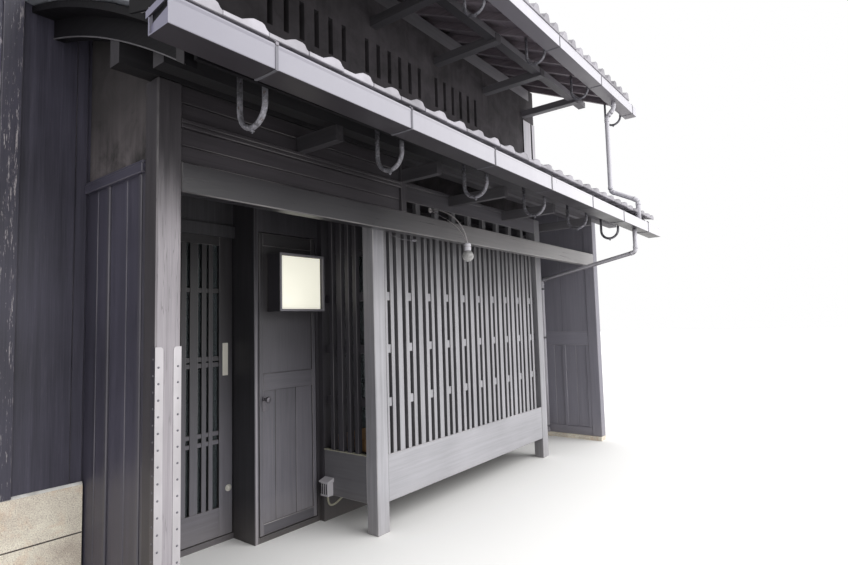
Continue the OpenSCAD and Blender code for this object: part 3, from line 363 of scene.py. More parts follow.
def dressed_stone(put, base, stain=None):
    """Tuff block dressed with a chisel: warm tan, speckled with dark grains, cloudy with
    damp, stained by iron in patches, matt, with a pitted face."""
    place = put("TexCoord").outputs["Object"]
    # Clouds 250 mm wide, and grains 3 mm across, drawn at 5 mm
    cloud = put("TexNoise", place, 4.0, 7.0, 0.6)
    fleck = put("TexNoise", place, 190.0, 3.0)
    both = put("Math", fleck, 0.9, cloud, operation="MULTIPLY_ADD")
    colour = put("Mix", put("MapRange", both, 0.7, 1.15), rgba(base, 0.56), rgba(base, 1.2))
    if stain:
        # Patches 170 mm wide
        rust = put("TexNoise", place, 6.0, 6.0, 0.7, Distortion=0.5)
        colour = put("Mix", put("MapRange", rust, 0.5, 0.7, 0.0, 0.55), colour, rgba(stain))
    grain = put("MapRange", fleck, 0.36, 0.3, 0.0, 0.5)
    return dict(Base_Color=put("Mix", grain, colour, rgba(base, 0.25)), Roughness=0.88,
                Normal=put("Bump", Height=both, Strength=0.6, Distance=0.003))


def clear_glass(put):
    """Float glass in front of a dark room: it shows mostly what it reflects, a little
    bent by waves 400 mm long."""
    wave = put("TexNoise", put("TexCoord").outputs["Object"], 2.5)
    return dict(Base_Color=rgba("#8d979c"), Roughness=0.04, Transmission_Weight=0.85, IOR=1.5,
                Normal=put("Bump", Height=wave, Strength=0.05, Distance=0.01))


def globe_shell(put):
    """Blown glass globe, clear with a film of dust in specks 33 mm wide: bright at its rim,
    dark in the middle."""
    dirt = put("TexNoise", put("TexCoord").outputs["Object"], 30.0, 3.0)
    return dict(Base_Color=put("Mix", dirt, rgba("#ffffff"), rgba("#8d8988")), Roughness=0.12,
                Transmission_Weight=0.5)


def frosted_bulb(put):
    """Frosted glass bulb, unlit: soft white with a frost of 2.5 mm."""
    frost = put("TexNoise", put("TexCoord").outputs["Object"], 400.0)
    return dict(Base_Color=put("Mix", frost, rgba("#d8d5d0"), rgba("#e9e6e0")), Roughness=0.5)


def lit_acrylic(put, base):
    """Opal acrylic sheet lit from behind: warm white, a little dimmer in clouds 200 mm
    wide."""
    cloud = put("TexNoise", put("TexCoord").outputs["Object"], 5.0)
    colour = put("Mix", cloud, rgba(base), rgba(base, 0.9))
    return dict(Base_Color=colour, Emission_Color=colour, Emission_Strength=0.62,
                Roughness=0.3)


def pale_floor(put, base):
    """Matt floor. The street's own glare shows to the camera only; ambient occlusion cuts it
    near the house, which paints a contact shade there.
    """
    glare = put("Math", put("LightPath").outputs["Is Camera Ray"], 0.25, operation="MULTIPLY")
    # Painted contact shade: the glare fades where the house closes off the sky
    contact_shade_mask = put("AmbientOcclusion", Distance=1.2).outputs["AO"]
    for _ in range(2):
        glare = put("Math", glare, contact_shade_mask, operation="MULTIPLY")
    return dict(Base_Color=rgba(base), Roughness=0.9, Specular_IOR_Level=0.2,
                Emission_Color=(1, 1, 1, 1), Emission_Strength=glare)


# Every finish of the house with what sets it apart, under its material
FINISHES = {
    # face with shelter gives the street faces weathering with painted light and shade in it, the
    # sides' base is painted shade, far a painted sheen and belly painted shade
    stained_timber: {
        "dark_boards": dict(base="board", wear=0.14, rough=0.46, dust=0.15, flecks=0.75,
                            spread=1.2),
        "batten_boards": dict(base="#413f48", wear=0.1, rough=0.42, dust=0.15),
        "dark_timber": dict(base="timber", rough=0.48),
        "roof_timber": dict(base="#333034", far="#77757c", polish=0.25),
        "ceiling_timber": dict(base="#4f4b4f", far="#8b8990", polish=0.3),
        "arm_timber": dict(base="#3a383c", far="#767479", polish=0.3),
        "plate_timber": dict(base="#3d3b3f", face="#2a292c", shelter=(3.4, 3.0), polish=0.25,
                             far="#a09ea4", belly="#1b1a1c"),
        "surround_timber": dict(base="#424145", face="#55535a", shelter=(3.3, 2.3),
                                polish=0.35),
        "barge_timber": dict(base="soot", wear=0.15, rough=0.55, polish=0.12),
        # A pale strip along the bargeboard's arris: wear and a painted highlight
        "edge_timber": dict(base="#59575b"),
        "grey_timber": dict(base="#828186", face="street", wear=0.4, rough=0.48),
        "door_timber": dict(base="#2b292c", face="door", wear=0.3, rough=0.42,
                            shelter=(3.0, 1.5)),
        "rail_timber": dict(base="#2b292c", face="#4d4b51", wear=0.9, dust=0.1,
                            shelter=(3.0, 1.5)),
        "strip_timber": dict(base="#302e32", face="#8e8b90", shelter=(3.0, 1.7), polish=0.3),
        "moss_timber": dict(base="#9c9a88", wear=0.5, rough=0.6),
        "lattice_timber": dict(base="side", face="street", wear=0.6, rough=0.44, spread=0.7),
        "worn_timber": dict(base="#322f33", face="worn", wear=0.3, checks=0.35,
                            shelter=(2.36, 1.86), spread=1.2),
        "beam_timber": dict(base="beam", wear=0.35, rough=0.26, spread=0.7, far="#9e9b9c"),
        # Weathered boards made pale with painted light
        "end_timber": dict(base="end", wear=0.3, rough=0.45, spread=0.35),
        "cover_timber": dict(base="#c9c6cd", wear=0.3, spread=0.4),
        "brown_timber": dict(base="brown", rough=0.6),
        "floor_timber": dict(base="floor_wood", dust=0.0),
    },
    painted_sheet: {
        # Near black; inside the lower gutter's end it is painted shade
        "pitch_metal": dict(base="#151419", rough=0.6),
        "wire_cover": dict(base="#b5b0b2", rough=0.5),
        "socket_shell": dict(base="#c4c1c6", rough=0.45),
        # Its under, lee and near are painted shade and painted light
        "gutter_metal": dict(base="#e2e0e6", soil=0.1, under="#302d32", lee="#77758a",
                             near="gutter"),
        "pipe_metal": dict(base="pipe", soil=0.1, under="#7c787f"),
        "strap_metal": dict(base="strap", rough=0.45, metal=0.6, soil=0.35),
        "box_metal": dict(base="#7b797f", rough=0.35, metal=0.3, soil=0.3),
        # Its lee is painted shade on the guards' side flanges
        "guard_steel": dict(base="guard", rough=0.36, metal=0.5, soil=0.35, lee="#4a474e"),
        "knob_steel": dict(base="#747177", rough=0.25, metal=0.9, soil=0.3),
        "sign_plate": dict(base="#d9d6cc", rough=0.35),
    },
    lime_plaster: {
        "grey_plaster": dict(base="plaster", mottle=0.42, damp=0.75),
        "side_plaster": dict(base="plaster", mottle=0.2),
        # Its soot is painted shade under the eave
        "eave_plaster": dict(base="#4d484a", mottle=0.85, soot=(2.42, 2.75)),
        "dark_mortar": dict(base="#4d453f", mottle=0.3),
        "lime_mortar": dict(base="#e4dcd3", mottle=0.5),
    },
    smoked_clay: {"roof_tile": dict(base="tile"), "eave_tile": dict(base="eave")},
    worn_iron: {"hook_iron": dict(base="strap")},
    dressed_stone: {"tan_stone": dict(base="stone", stain="#d6ae8e"),
                    "floor_concrete": dict(base="concrete")},
    clear_glass: {"window_glass": {}},
    globe_shell: {"globe_glass": {}},
    frosted_bulb: {"bulb_glass": {}},
    lit_acrylic: {"sign_panel": dict(base="glow")},
}
RECIPES = {name: (surface, settings) for surface, group in FINISHES.items()
           for name, settings in group.items()}
# Finishes that differ from the record's slot that they belong to
# Construction nodes whose finish isn't just their slot's with an upright grain: the finish
# and the way that its grain runs
NODE_FINISHES = {
    "bay_boards": ("dark_timber", "x"), "eave_arms": ("arm_timber", "y"),
    "entrance_surround": ("surround_timber", "z"), "lamp_arm": ("wire_cover", "z"),
    "long_beams": ("plate_timber", "x"), "lower_main_wall": ("dark_timber", "z"),
    "lower_rafters": ("ceiling_timber", "y"), "lower_roof": ("barge_timber", "x"),
    "outlet_box": ("socket_shell", "z"), "party_walls": ("side_plaster", "z"),
    "rear_wall": ("side_plaster", "z"), "upper_floor": ("floor_timber", "x"),
    "upper_rafters": ("brown_timber", "y"), "upper_roof_front": ("brown_timber", "x"),
    "upper_roof_rear": ("brown_timber", "x"),
}
MADE = {}


def finish(slot, way):
    """The material of a finish, made once for each way that the grain of timber runs."""
    surface, settings = RECIPES[slot]
    grain = {"way": way} if surface is stained_timber else {}
    name = "_".join([slot, *grain.values()])
    if name not in MADE:
        MADE[name] = material(name, surface, **settings, **grain)
    return MADE[name]


# Shapes ---------------------------------------------------------------------------------

def house(points):
    """Metres in the model's frame from millimetres in the house's own."""
    return (np.asarray(points, float) - ORIGIN) / 1000


def node_box(name):
    """Low and high corner of a construction node, in the house's millimetres, as one row."""
    return (np.array(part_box(name)) * 1000 + ORIGIN).ravel()


def piece(name, points, faces, slot, way="grain", body="house", smooth=False, **fields):
    """A mesh from points (n, 3) and arrays of faces, one array for each number of corners.
    Fields are floats or vectors, one a point or one a face corner."""
    mesh = bpy.data.meshes.new(name)
    points = np.asarray(points, np.float32).reshape(-1, 3)
    mesh.from_pydata(points, [], [face for group in faces for face in group.tolist()])
    mesh.polygons.foreach_set("use_smooth", np.full(len(mesh.polygons), smooth))
    for key, values in fields.items():
        values = np.asarray(values, np.float32)
        kind, part = ("FLOAT_VECTOR", "vector") if values.ndim == 2 else ("FLOAT", "value")
        domain = "POINT" if len(values) == len(points) else "CORNER"
        mesh.attributes.new(key, kind, domain).data.foreach_set(part, values.ravel())
    mesh.validate()
    mesh.materials.append(finish(slot, way))
    obj = bpy.data.objects.new(name, mesh)
    bpy.context.scene.collection.objects.link(obj)
    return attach(obj, body)


def block_pattern():
    """The faces of a block with planed edges. Its 24 points are numbered corner * 3 + side,
    where a corner's point on side k lies in the face across axis k. For each axis there are
    two faces across it and four edges along it, and each corner has a triangle."""
    corner = np.repeat(np.array(list(np.ndindex(2, 2, 2))) * 2 - 1, 3, axis=0)
    side = np.tile(np.eye(3), (8, 1))
    place = corner * (0.8 + 0.2 * side)
    weight = (4, 2, 1)
    quads = []
    for k in range(3):
        a, b = (i for i in range(3) if i != k)
        for near in (0, weight[k]):
            ring = [near + u * weight[a] + v * weight[b]
                    for u, v in ((0, 0), (1, 0), (1, 1), (0, 1))]
            quads.append([3 * i + k for i in ring])
        for i in (0, weight[b], weight[a], weight[a] + weight[b]):
            i, j = 3 * i, 3 * (i + weight[k])
            quads.append([i + a, j + a, j + b, i + b])
    quads, tris = np.array(quads), np.arange(24).reshape(-1, 3)
    for faces in (quads, tris):
        p = place[faces]
        normal = np.cross(p[:, 1] - p[:, 0], p[:, 2] - p[:, 1])
        inward = (normal * p.mean(1)).sum(1) < 0
        faces[inward] = faces[inward, ::-1]
    return corner, side, quads, tris, np.tile([0, 0, 1, 1, 1, 1], 3)


CORNER, SIDE, QUADS, TRIS, EDGE = block_pattern()


def timbers(name, rows, slot, body="house", arris=None, seed=1):
    """Squared timbers in one mesh. Each row is x0, y0, z0, x1, y1, z1 of a block; its points
    are centre + sign * (half - arris off the point's own side), so that every edge is planed.
    The grain runs along the longest side, and each timber has a tone of its own."""
    ends = house(np.reshape(rows, (-1, 2, 3)))
    low, high = ends.min(1), ends.max(1)
    arris = bpy.context.scene.machiya_timber.arris if arris is None else arris
    centre, half = (low + high) / 2, (high - low) / 2
    cut = np.minimum(arris, half.min(1) * 0.4)[:, None, None]
    local = CORNER * (half[:, None] - cut * (1 - SIDE))
    n = len(ends)
    step = 24 * np.arange(n)[:, None, None]
    rng = np.random.default_rng(seed)
    order = (np.argmax(half, 1)[:, None] + (1, 2, 3)) % 3
    grain = np.take_along_axis(local, order[:, None].repeat(24, 1), 2)
    grain = grain + rng.uniform(-9, 9, (n, 1, 3))
    tone = np.repeat(rng.random(n), 24)
    edge = np.concatenate([np.tile(np.repeat(EDGE, 4), n), np.ones(n * 24)])
    return piece(name, centre[:, None] + local,
                 [(QUADS + step).reshape(-1, 4), (TRIS + step).reshape(-1, 3)],
                 slot, "grain", body, grain=grain.reshape(-1, 3), tone=tone, edge=edge)


def skin(name, rings, slot, body="house", smooth=True, tone=None, way="grain"):
    """Closed skins in one mesh. rings is (n, m, k, 3): n shapes, each of m outlines of k
    points, joined one to the next, with a flat cap over the first and the last."""
    rings = np.reshape(rings, (-1, *np.shape(rings)[-3:]))
    n, m, k, _ = rings.shape
    i = np.arange(m - 1)[:, None] * k
    j = np.arange(k)
    quads = np.stack([i + j, i + (j + 1) % k, i + k + (j + 1) % k, i + k + j], -1)
    ends = np.stack([j[::-1], (m - 1) * k + j])
    step = (m * k * np.arange(n))[:, None, None]
    faces = [(quads.reshape(-1, 4) + step).reshape(-1, 4), (ends + step).reshape(-1, k)]
    tone = np.zeros(n) if tone is None else tone
    return piece(name, rings, faces, slot, way, body, smooth, tone=np.repeat(tone, m * k))


def slab(name, outline, x0, x1, slot, way="z"):
    """A flat outline of depth and height, turning from Y towards Z, from x0 to x1."""
    ends = [np.insert(np.asarray(outline, float), 0, x, axis=1) for x in (x0, x1)]
    return skin(name, house(ends), slot, smooth=False, way=way)


# Lift of the boards' tops and of the tiles' line over the lower roof's foot, and the lower
# gutter's fall in a metre, in millimetres
BOARD_LIFT, TILE_LIFT, FALL = 105, 150, 9.6


def under_roof(name, low, high, foot, steps, x0, x1, slot):
    """A panel of the depths low to high, from its foot up to the curve of the lower roof."""
    y = np.linspace(high, low, steps)
    top = np.column_stack([y, lower_line(y, BOARD_LIFT)])
    return slab(name, [[low, foot], [high, foot], *top], x0, x1, slot)


def unit(vectors):
    """Vectors brought to length 1."""
    return vectors / np.linalg.norm(vectors, axis=-1, keepdims=True)


def spokes(ahead, sides, hint):
    """Unit circles square to the way ahead: cos t * u + sin t * v, where u is square to the
    way and to the hint, and v to the way and to u."""
    u = unit(np.cross(ahead, hint))
    v = np.cross(ahead, u)
    t = np.linspace(0, 2 * np.pi, sides, endpoint=False)[:, None]
    return np.cos(t) * u[..., None, :] + np.sin(t) * v[..., None, :]


def turned(name, centres, axis, outline, slot, body="house", sides=32, smooth=True):
    """Round pieces: an outline of (radius, height) turned about an axis through each centre.
    Each ring is centre + height * axis + radius * spokes."""
    radius, height = np.asarray(outline, float).T[:, :, None, None]
    axis = unit(np.asarray(axis, float))
    ring = spokes(axis, sides, (0, 0, 1) if abs(axis[2]) < 0.9 else (1, 0, 0))
    points = height * axis + np.maximum(radius, 0.01) * ring
    return skin(name, house(np.reshape(centres, (-1, 1, 1, 3)) + points), slot, body, smooth)


def rod(name, path, radius, slot, sides=12):
    """A round rod along a path: each point carries a ring of the radius, square to the
    path's own direction there, with the ring's first point kept to one side."""
    ring = spokes(unit(np.gradient(path, axis=0)), sides, (0, 0.31, 0.95))
    return skin(name, house(path[:, None] + radius * ring), slot)


def reaches(points, before, after):
    """The inner corners of a path, the ways in and out of each, and the places that lie
    before and after it by the reaches."""
    p = np.asarray(points, float)
    way = unit(np.diff(p, axis=0))
    return p[1:-1], way[:-1], way[1:], p[1:-1] - before * way[:-1], p[1:-1] + after * way[1:]


def rounded(points, reach, steps=7):
    """A path through points whose corners are quadratic curves that start and end the reach
    from the corner."""
    t = np.linspace(0, 1, steps)[None, :, None]
    corner, _, _, start, end = (v[:, None] for v in reaches(points, reach, reach))
    curves = (1 - t) ** 2 * start + 2 * t * (1 - t) * corner + t ** 2 * end
    return np.concatenate([points[:1], curves.reshape(-1, 3), points[-1:]])


def sockets(name, points, reach, radius, slot):
    """The collars of a pipe's elbows, one before and one after each corner: short cylinders
    of the radius, 32 mm long, round the pipe."""
    _, into, out, before, after = reaches(points, reach + 22, reach - 10)
    start, ahead = np.concatenate([before, after])[:, None], np.concatenate([into, out])
    ring = radius * spokes(ahead, 24, (0.3, 0.9, 0.31))
    levels = [start + h * ahead[:, None] + w * ring
              for h, w in ((0, 0.9), (1.5, 1), (30.5, 1), (32, 0.9))]
    return skin(name, house(np.stack(levels, 1)), slot)


def bent(points, steps=16):
    """A cubic curve from the first to the last of four points, drawn towards the other
    two: (1 - t)^3, 3 t (1 - t)^2, 3 t^2 (1 - t) and t^3 of them."""
    a, b, c, d = np.asarray(points, float)
    t = np.linspace(0, 1, steps)[:, None]
    return ((1 - t) ** 3 * a + 3 * t * (1 - t) ** 2 * b + 3 * t ** 2 * (1 - t) * c
            + t ** 3 * d)


def hoops(name, places, reach, radius, tops, slot):
    """Hooks of round bar, open upwards: from the front leg's top down, round a half circle of
    the reach about each place and up the back leg, with a ring of the radius at each step."""
    t = np.linspace(0, np.pi, 17)
    y = np.concatenate([[-reach], -reach * np.cos(t), [reach]])
    z = np.concatenate([tops[:1], -reach * np.sin(t), tops[1:]])
    ahead = unit(np.gradient(np.column_stack([y, z]), axis=0))
    a = np.linspace(0, 2 * np.pi, 12, endpoint=False)
    side = radius * np.sin(a)
    ring = np.stack([np.broadcast_to(radius * np.cos(a), (len(y), len(a))),
                     y[:, None] + side * ahead[:, 1:], z[:, None] - side * ahead[:, :1]], -1)
    return skin(name, house(np.asarray(places, float)[:, None, None] + ring), slot)


def bar_places(run, start=0.0):
    """Low and high edge of the upright bars in a run, in millimetres: groups of narrow,
    wide and narrow with one clear gap everywhere, a gap left at the end of the run."""
    t = bpy.context.scene.machiya_timber
    gap, wide, thin = (1000 * v for v in (t.gap, t.wide, t.thin))
    i = np.arange(60)
    low = gap + (i // 3) * (2 * thin + wide + 3 * gap) + np.array(
        [0, thin + gap, thin + wide + 2 * gap])[i % 3]
    high = low + np.where(i % 3 == 1, wide, thin)
    kept = high + gap <= run - start
    return start + low[kept], start + high[kept]


def pan(u):
    """Height of a pantile across its width, u from 0 to 1: a roll near the right side that
    falls steeply on its outer flank, and a shallow trough before it."""
    crest, trough_end, depth = 0.84, 0.7, 0.008
    flank = np.where(u < crest, 0.13, 0.075)
    roll = bpy.context.scene.machiya_roof.roll * np.exp(-((u - crest) / flank) ** 2)
    return roll - depth * np.sin(np.pi * np.minimum(u / trough_end, 1)) ** 2


# Places across a tile, closer together over its roll
ACROSS = np.array([0, 0.1, 0.25, 0.4, 0.54, 0.66, 0.74, 0.8, 0.85, 0.9, 0.95, 1])
ROUND = np.concatenate([ACROSS, ACROSS[::-1]])


def columns(first, last):
    """Edges of the tile columns, in metres of the model's frame: full widths from the left,
    and the rest in a last cut tile."""
    wide = 1000 * bpy.context.scene.machiya_roof.tile_w
    least = 0.4 * wide
    full = np.arange(first, last - least, wide)
    return (np.append(full, last) - ORIGIN[0]) / 1000


def pantiles(edges, y, z, rows, name):
    """Closed pantiles laid in courses between the column edges, along the roof's line of
    depths y and heights z. Each tile has pan() across its width and runs from its nose up the
    line, tilted so that its tail goes under the next nose."""
    thick = bpy.context.scene.machiya_roof.tile_t
    rng = np.random.default_rng(31)
    line = house(np.stack([0 * y, y, z], 1))[:, 1:]
    last = len(line) - 1
    # A tile runs 0.12 of a course under the next one and 10 mm under its neighbour
    course, lap = 1.12, 0.010
    n = (len(edges) - 1) * rows
    column, row = np.divmod(np.arange(n), rows)
    wide = np.diff(edges)[column][:, None] + lap
    height = pan(ROUND) + np.repeat([thick, 0.0], len(ACROSS))
    jitter = rng.normal(0, 0.0015, (n, 2))
    rings = np.empty((n, 2, len(ROUND), 3))
    rings[..., 0] = (edges[column][:, None] + ROUND * wide + jitter[:, :1])[:, None]
    for end, up in enumerate((0.95 * thick, 0.0)):
        at = np.minimum((row + end * course) * last / rows, last - 1e-6)
        y, z = (np.interp(at, np.arange(last + 1), part)[:, None] for part in line.T)
        rings[:, end, :, 1] = y
        rings[:, end, :, 2] = z + height + up + jitter[:, 1:]
    if line[-1][0] < line[0][0]:
        rings = rings[:, ::-1]
    return skin(name, rings, "roof_tile", smooth=False, tone=rng.random(n))


def eave_course(name, edges, front, back, foot, top, rise, hump):
    """The eave tiles: across its width each tile rises from the trough by a smooth step,
    stays level and falls steeply at its end, over a straight-edged apron that hangs down at
    the front, with its edge rounded; behind the apron the tile rises to its back."""
    thick = bpy.context.scene.machiya_roof.tile_t
    front, back = house([[0, front, 0], [0, back, 0]])[:, 1]
    way = np.sign(back - front)
    up, down = (np.clip((ACROSS - a) / b, 0, 1) for a, b in ((0.36, 0.32), (0.87, 0.12)))
    wave = top + hump * (up * up * (3 - 2 * up) - down * down * (3 - 2 * down))
    level = foot + 0 * wave
    # The round of the front edge, the apron's back and the tile's underside behind it
    edge, apron, under = (front + way * depth for depth in (0.003, 0.015, 0.017))
    sections = [(front, wave - 0.003, level + 0.003), (edge, wave, level),
                (apron, wave, level), (under, wave, wave - thick),
                (back, wave + rise, wave - thick + rise)]
    rng = np.random.default_rng(17)
    n = len(edges) - 1
    jitter = rng.normal(0, 0.0012, (n, 1, 3))
    rings = np.empty((n, len(sections), len(ROUND), 3))
    rings[..., 0] = (edges[:-1, None] + ROUND * (np.diff(edges)[:, None] - 0.003))[:, None]
    for i, (y, above, below) in enumerate(sections):
        rings[:, i, :, 1] = y
        rings[:, i, :, 2] = np.concatenate([above, below[::-1]])
    rings += jitter[:, None]
    if way < 0:
        rings = rings[:, ::-1]
    return skin(name, rings, "eave_tile", smooth=False, tone=rng.random(n))


def lower_line(y, lift):
    """Height of the lower roof at depth y, in the house's millimetres: a slope of 0.58 at
    the eave that eases by 0.112 a metre, lifted by the boards and rafters under the tiles."""
    t = y + 600
    return 2489 + 0.58 * t - 0.112 * t * t / 1000 + lift


def channel(name, x0, x1, foot, fall, front, side, slot):
    """A box gutter: the section of its folded sheet, with a bead along the lip, carried from
    x0 to x1 on a foot that falls; side is 1 where its front is the street."""
    section = np.array([[135, 0], [4, 0], [1, 1], [0, 4], [0, 86], [-2.4, 96], [-2.2, 101],
                        [-0.5, 104], [3, 105], [7, 104], [8, 99], [4, 96], [4, 5], [131, 5],
                        [131, 103], [133, 105], [135, 103]])
    points = [np.column_stack([0 * section[:, 0] + x, front + side * section[:, 0],
                               foot - fall * x / 1000 + section[:, 1]]) for x in (x0, x1)]
    return skin(name, house(points if side < 0 else np.flip(points, 1)), slot, smooth=False)


# Operators ------------------------------------------------------------------------------

class MACHIYA_OT_stage(bpy.types.Operator):
    """Pale floor, even white surroundings, soft key light and the street camera"""

    bl_idname = "machiya.stage"
    bl_label = "Stage"

    def execute(self, context):
        scene, stage = context.scene, context.scene.machiya_stage
        # A floor of 12 by 12 squares of 10 m
        x, y = np.meshgrid(*[np.linspace(-60, 60, 13)] * 2)
        points = np.stack([x, y, 0 * x], -1).reshape(-1, 3)
        i = (np.arange(12)[:, None] * 13 + np.arange(12)).ravel()
        mesh = bpy.data.meshes.new("floor")
        mesh.from_pydata(points.tolist(), [], np.stack([i, i + 1, i + 14, i + 13], -1).tolist())
        floor = bpy.data.objects.new("floor", mesh)
        mesh.materials.append(material("pale_floor", pale_floor, base=stage.floor))

        world = bpy.data.worlds.new("even_sky")
        world.use_nodes = True
        world.node_tree.nodes.clear()
        put = partial(add, world.node_tree)
        path = put("LightPath").outputs
        seen = put("Math", path["Is Camera Ray"], path["Is Glossy Ray"], operation="MAXIMUM")
        seen = put("Math", seen, path["Is Transmission Ray"], operation="MAXIMUM")
        power = put("MapRange", seen, 0.0, 1.0, stage.sky, 1.0)
        put("OutputWorld", put("Background", (1, 1, 1, 1), power))
        scene.world = world

        # Soft light from the street, high and a little from the far end
        lamp = bpy.data.lights.new("key", "SUN")
        lamp.energy = stage.key
        lamp.angle = math.radians(50)
        sun = bpy.data.objects.new("key", lamp)
        sun.rotation_euler = Vector((0.35, -1.0, 0.75)).to_track_quat("Z", "Y").to_euler()

        # The camera that the house's own lines gave: turned from the depth of the house
        # towards the street's far end, tilted up and rolled
        eye, focus_px, frame_px = (-3.5961, -6.8255, 1.5), 547.554, 848
        turn, tilt, roll = (math.radians(a) for a in (52.378, 4.291, -1.553))
        lens = bpy.data.cameras.new("street")
        lens.sensor_width = 36.0
        lens.lens = lens.sensor_width * focus_px / frame_px
        camera = bpy.data.objects.new("street", lens)
        camera.matrix_world = (Matrix.Translation(eye) @ Matrix.Rotation(-turn, 4, "Z")
                               @ Matrix.Rotation(math.pi / 2 + tilt, 4, "X")
                               @ Matrix.Rotation(roll, 4, "Z"))
        for obj in (floor, sun, camera):
            scene.collection.objects.link(obj)
        scene.camera = camera
        scene.view_settings.view_transform = "Standard"
        return {"FINISHED"}


class MACHIYA_OT_frame_finishes(bpy.types.Operator):
    """Gives every construction node the finish that its real piece has"""

    bl_idname = "machiya.frame_finishes"
    bl_label = "Frame finishes"

    def execute(self, context):
        missing = set(NODE_FINISHES) - set(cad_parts)
        if missing:
            raise RuntimeError(f"finishes without a node: {sorted(missing)}")
        for name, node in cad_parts.items():
            for part in node.material_slots:
                part.material = finish(*NODE_FINISHES.get(name, (part.material.name, "z")))
        return {"FINISHED"}


class MACHIYA_OT_posts(bpy.types.Operator):
    """Planed posts, street lintel and transom boards of the porch front"""

    bl_idname = "machiya.posts"
    bl_label = "Posts and lintel"

    def execute(self, context):
        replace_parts(timbers("planed_corner_post", node_box("corner_post"), "worn_timber",
                            arris=0.007), "corner_post")
        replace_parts(timbers("planed_lintel", node_box("lintel"), "beam_timber", arris=0.006),
                    "lintel")
        x0, y0, z0, x1, y1, z1 = node_box("bay_posts")
        wide = 125
        posts = [[x0, y0, z0, x0 + wide, y1, z1], [x1 - wide, y0, z0, x1, y1, z1]]
        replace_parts(timbers("planed_bay_posts", posts, "grey_timber", arris=0.005), "bay_posts")
        x0, x1 = 120, 1775
        rows = [[x0, 22, 2316, x1, 50, 2400], [x0, 20, 2403, x1, 50, 2486],
                [x0, 22, 2531, x1, 50, 2613], [x0, 20, 2616, x1, 50, 2700],
                [x0, 0, 2487, x1, 40, 2506], [x0, 6, 2505, x1, 40, 2512],
                [x0, 0, 2511, x1, 40, 2530], [1774, 0, 2316, 1829, 60, 2700]]
        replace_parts(timbers("transom_boards", rows, "roof_timber"), "transom")
        return {"FINISHED"}


class MACHIYA_OT_lattices(bpy.types.Operator):
    """Bars of the bay's three lattices, two narrow and one wide in turn, with dark rails
    behind them and a short tie let in between two groups; at the front the narrow bars stop
    at the top rail and the wide ones rise to the head board"""

    bl_idname = "machiya.lattices"
    bl_label = "Lattices"

    def execute(self, context):
        half = 500 * context.scene.machiya_timber.tie
        lowest, apart = 925, 395
        levels = lowest + apart * np.arange(3)
        x, y, z0, z1, top_rail = 1838, 243, 549, 2482, 2340
        a, b = bar_places(2544, 24)
        rows = [[x + p, y, z0, x + q, y + 40, z1 if i % 3 == 1 else top_rail + 22]
                for i, (p, q) in enumerate(zip(a, b))]
        rows += [[x, y - 5, z0, x + 24, y + 40, z1]]
        rows += [[x + b[i], y + 8, z - half, x + a[i + 1], y + 40, z + half]
                 for z in levels for i in range(2, len(a) - 1, 3)]
        rows += [[x + 24, y + 8, z - half, x + a[0], y + 40, z + half] for z in levels]
        bars = timbers("front_bars", rows, "lattice_timber", arris=0.002, seed=20)
        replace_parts(bars, "bay_front_lattice")
        rows = [[x, y + 36, z - half, x + 2544, y + 62, z + half] for z in [*levels, top_rail]]
        timbers("front_rails", rows, "dark_timber", arris=0.002, seed=21)
        # The sides: the same rule, in the middle of the run between post and wall
        post, wall = 347, 800
        run = wall - post
        a, b = bar_places(run)
        a, b = (v + (run - b[-1] - a[0]) / 2 for v in (a, b))
        left = [[1718, wall - q, z0, 1758, wall - p, z1] for p, q in zip(a, b)]
        left += [[1754, post, z - half, 1780, wall, z + half] for z in levels]
        right = [[4462, post + p, z0, 4502, post + q, z1] for p, q in zip(a, b)]
        right += [[4440, post, z - half, 4466, wall, z + half] for z in levels]
        for name, rows in (("bay_left_lattice", left), ("bay_right_lattice", right)):
            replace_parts(timbers(name + "_bars", rows, "dark_timber", arris=0.002,
                                seed=len(name)), name)
        return {"FINISHED"}


class MACHIYA_OT_bay_boards(bpy.types.Operator):
    """Skirt boards with their mossy side ledges, and head boards of the bay"""

    bl_idname = "machiya.bay_boards"
    bl_label = "Bay boards"

    def execute(self, context):
        x0, x1, y0, y1 = 1718, 4502, 243, 800
        for name, slot, levels in (("bay_skirt", "lattice_timber", [(210, 549)]),
                                   ("bay_head", "roof_timber", [(2482, 2606), (2608, 2640)])):
            rows = [[[1838, y0, z0, 4382, y0 + 30, z1], [x0, 347, z0, x0 + 30, y1, z1],
                     [x1 - 30, 347, z0, x1, y1, z1]] for z0, z1 in levels]
            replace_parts(timbers(name + "_boards", rows, slot, arris=0.004, seed=5), name)
        rows = [[a, 349, 545, a + 36, 799, 552] for a in (x0 - 4, x1 - 32)]
        timbers("skirt_ledges", rows, "moss_timber", arris=0.002)
        return {"FINISHED"}


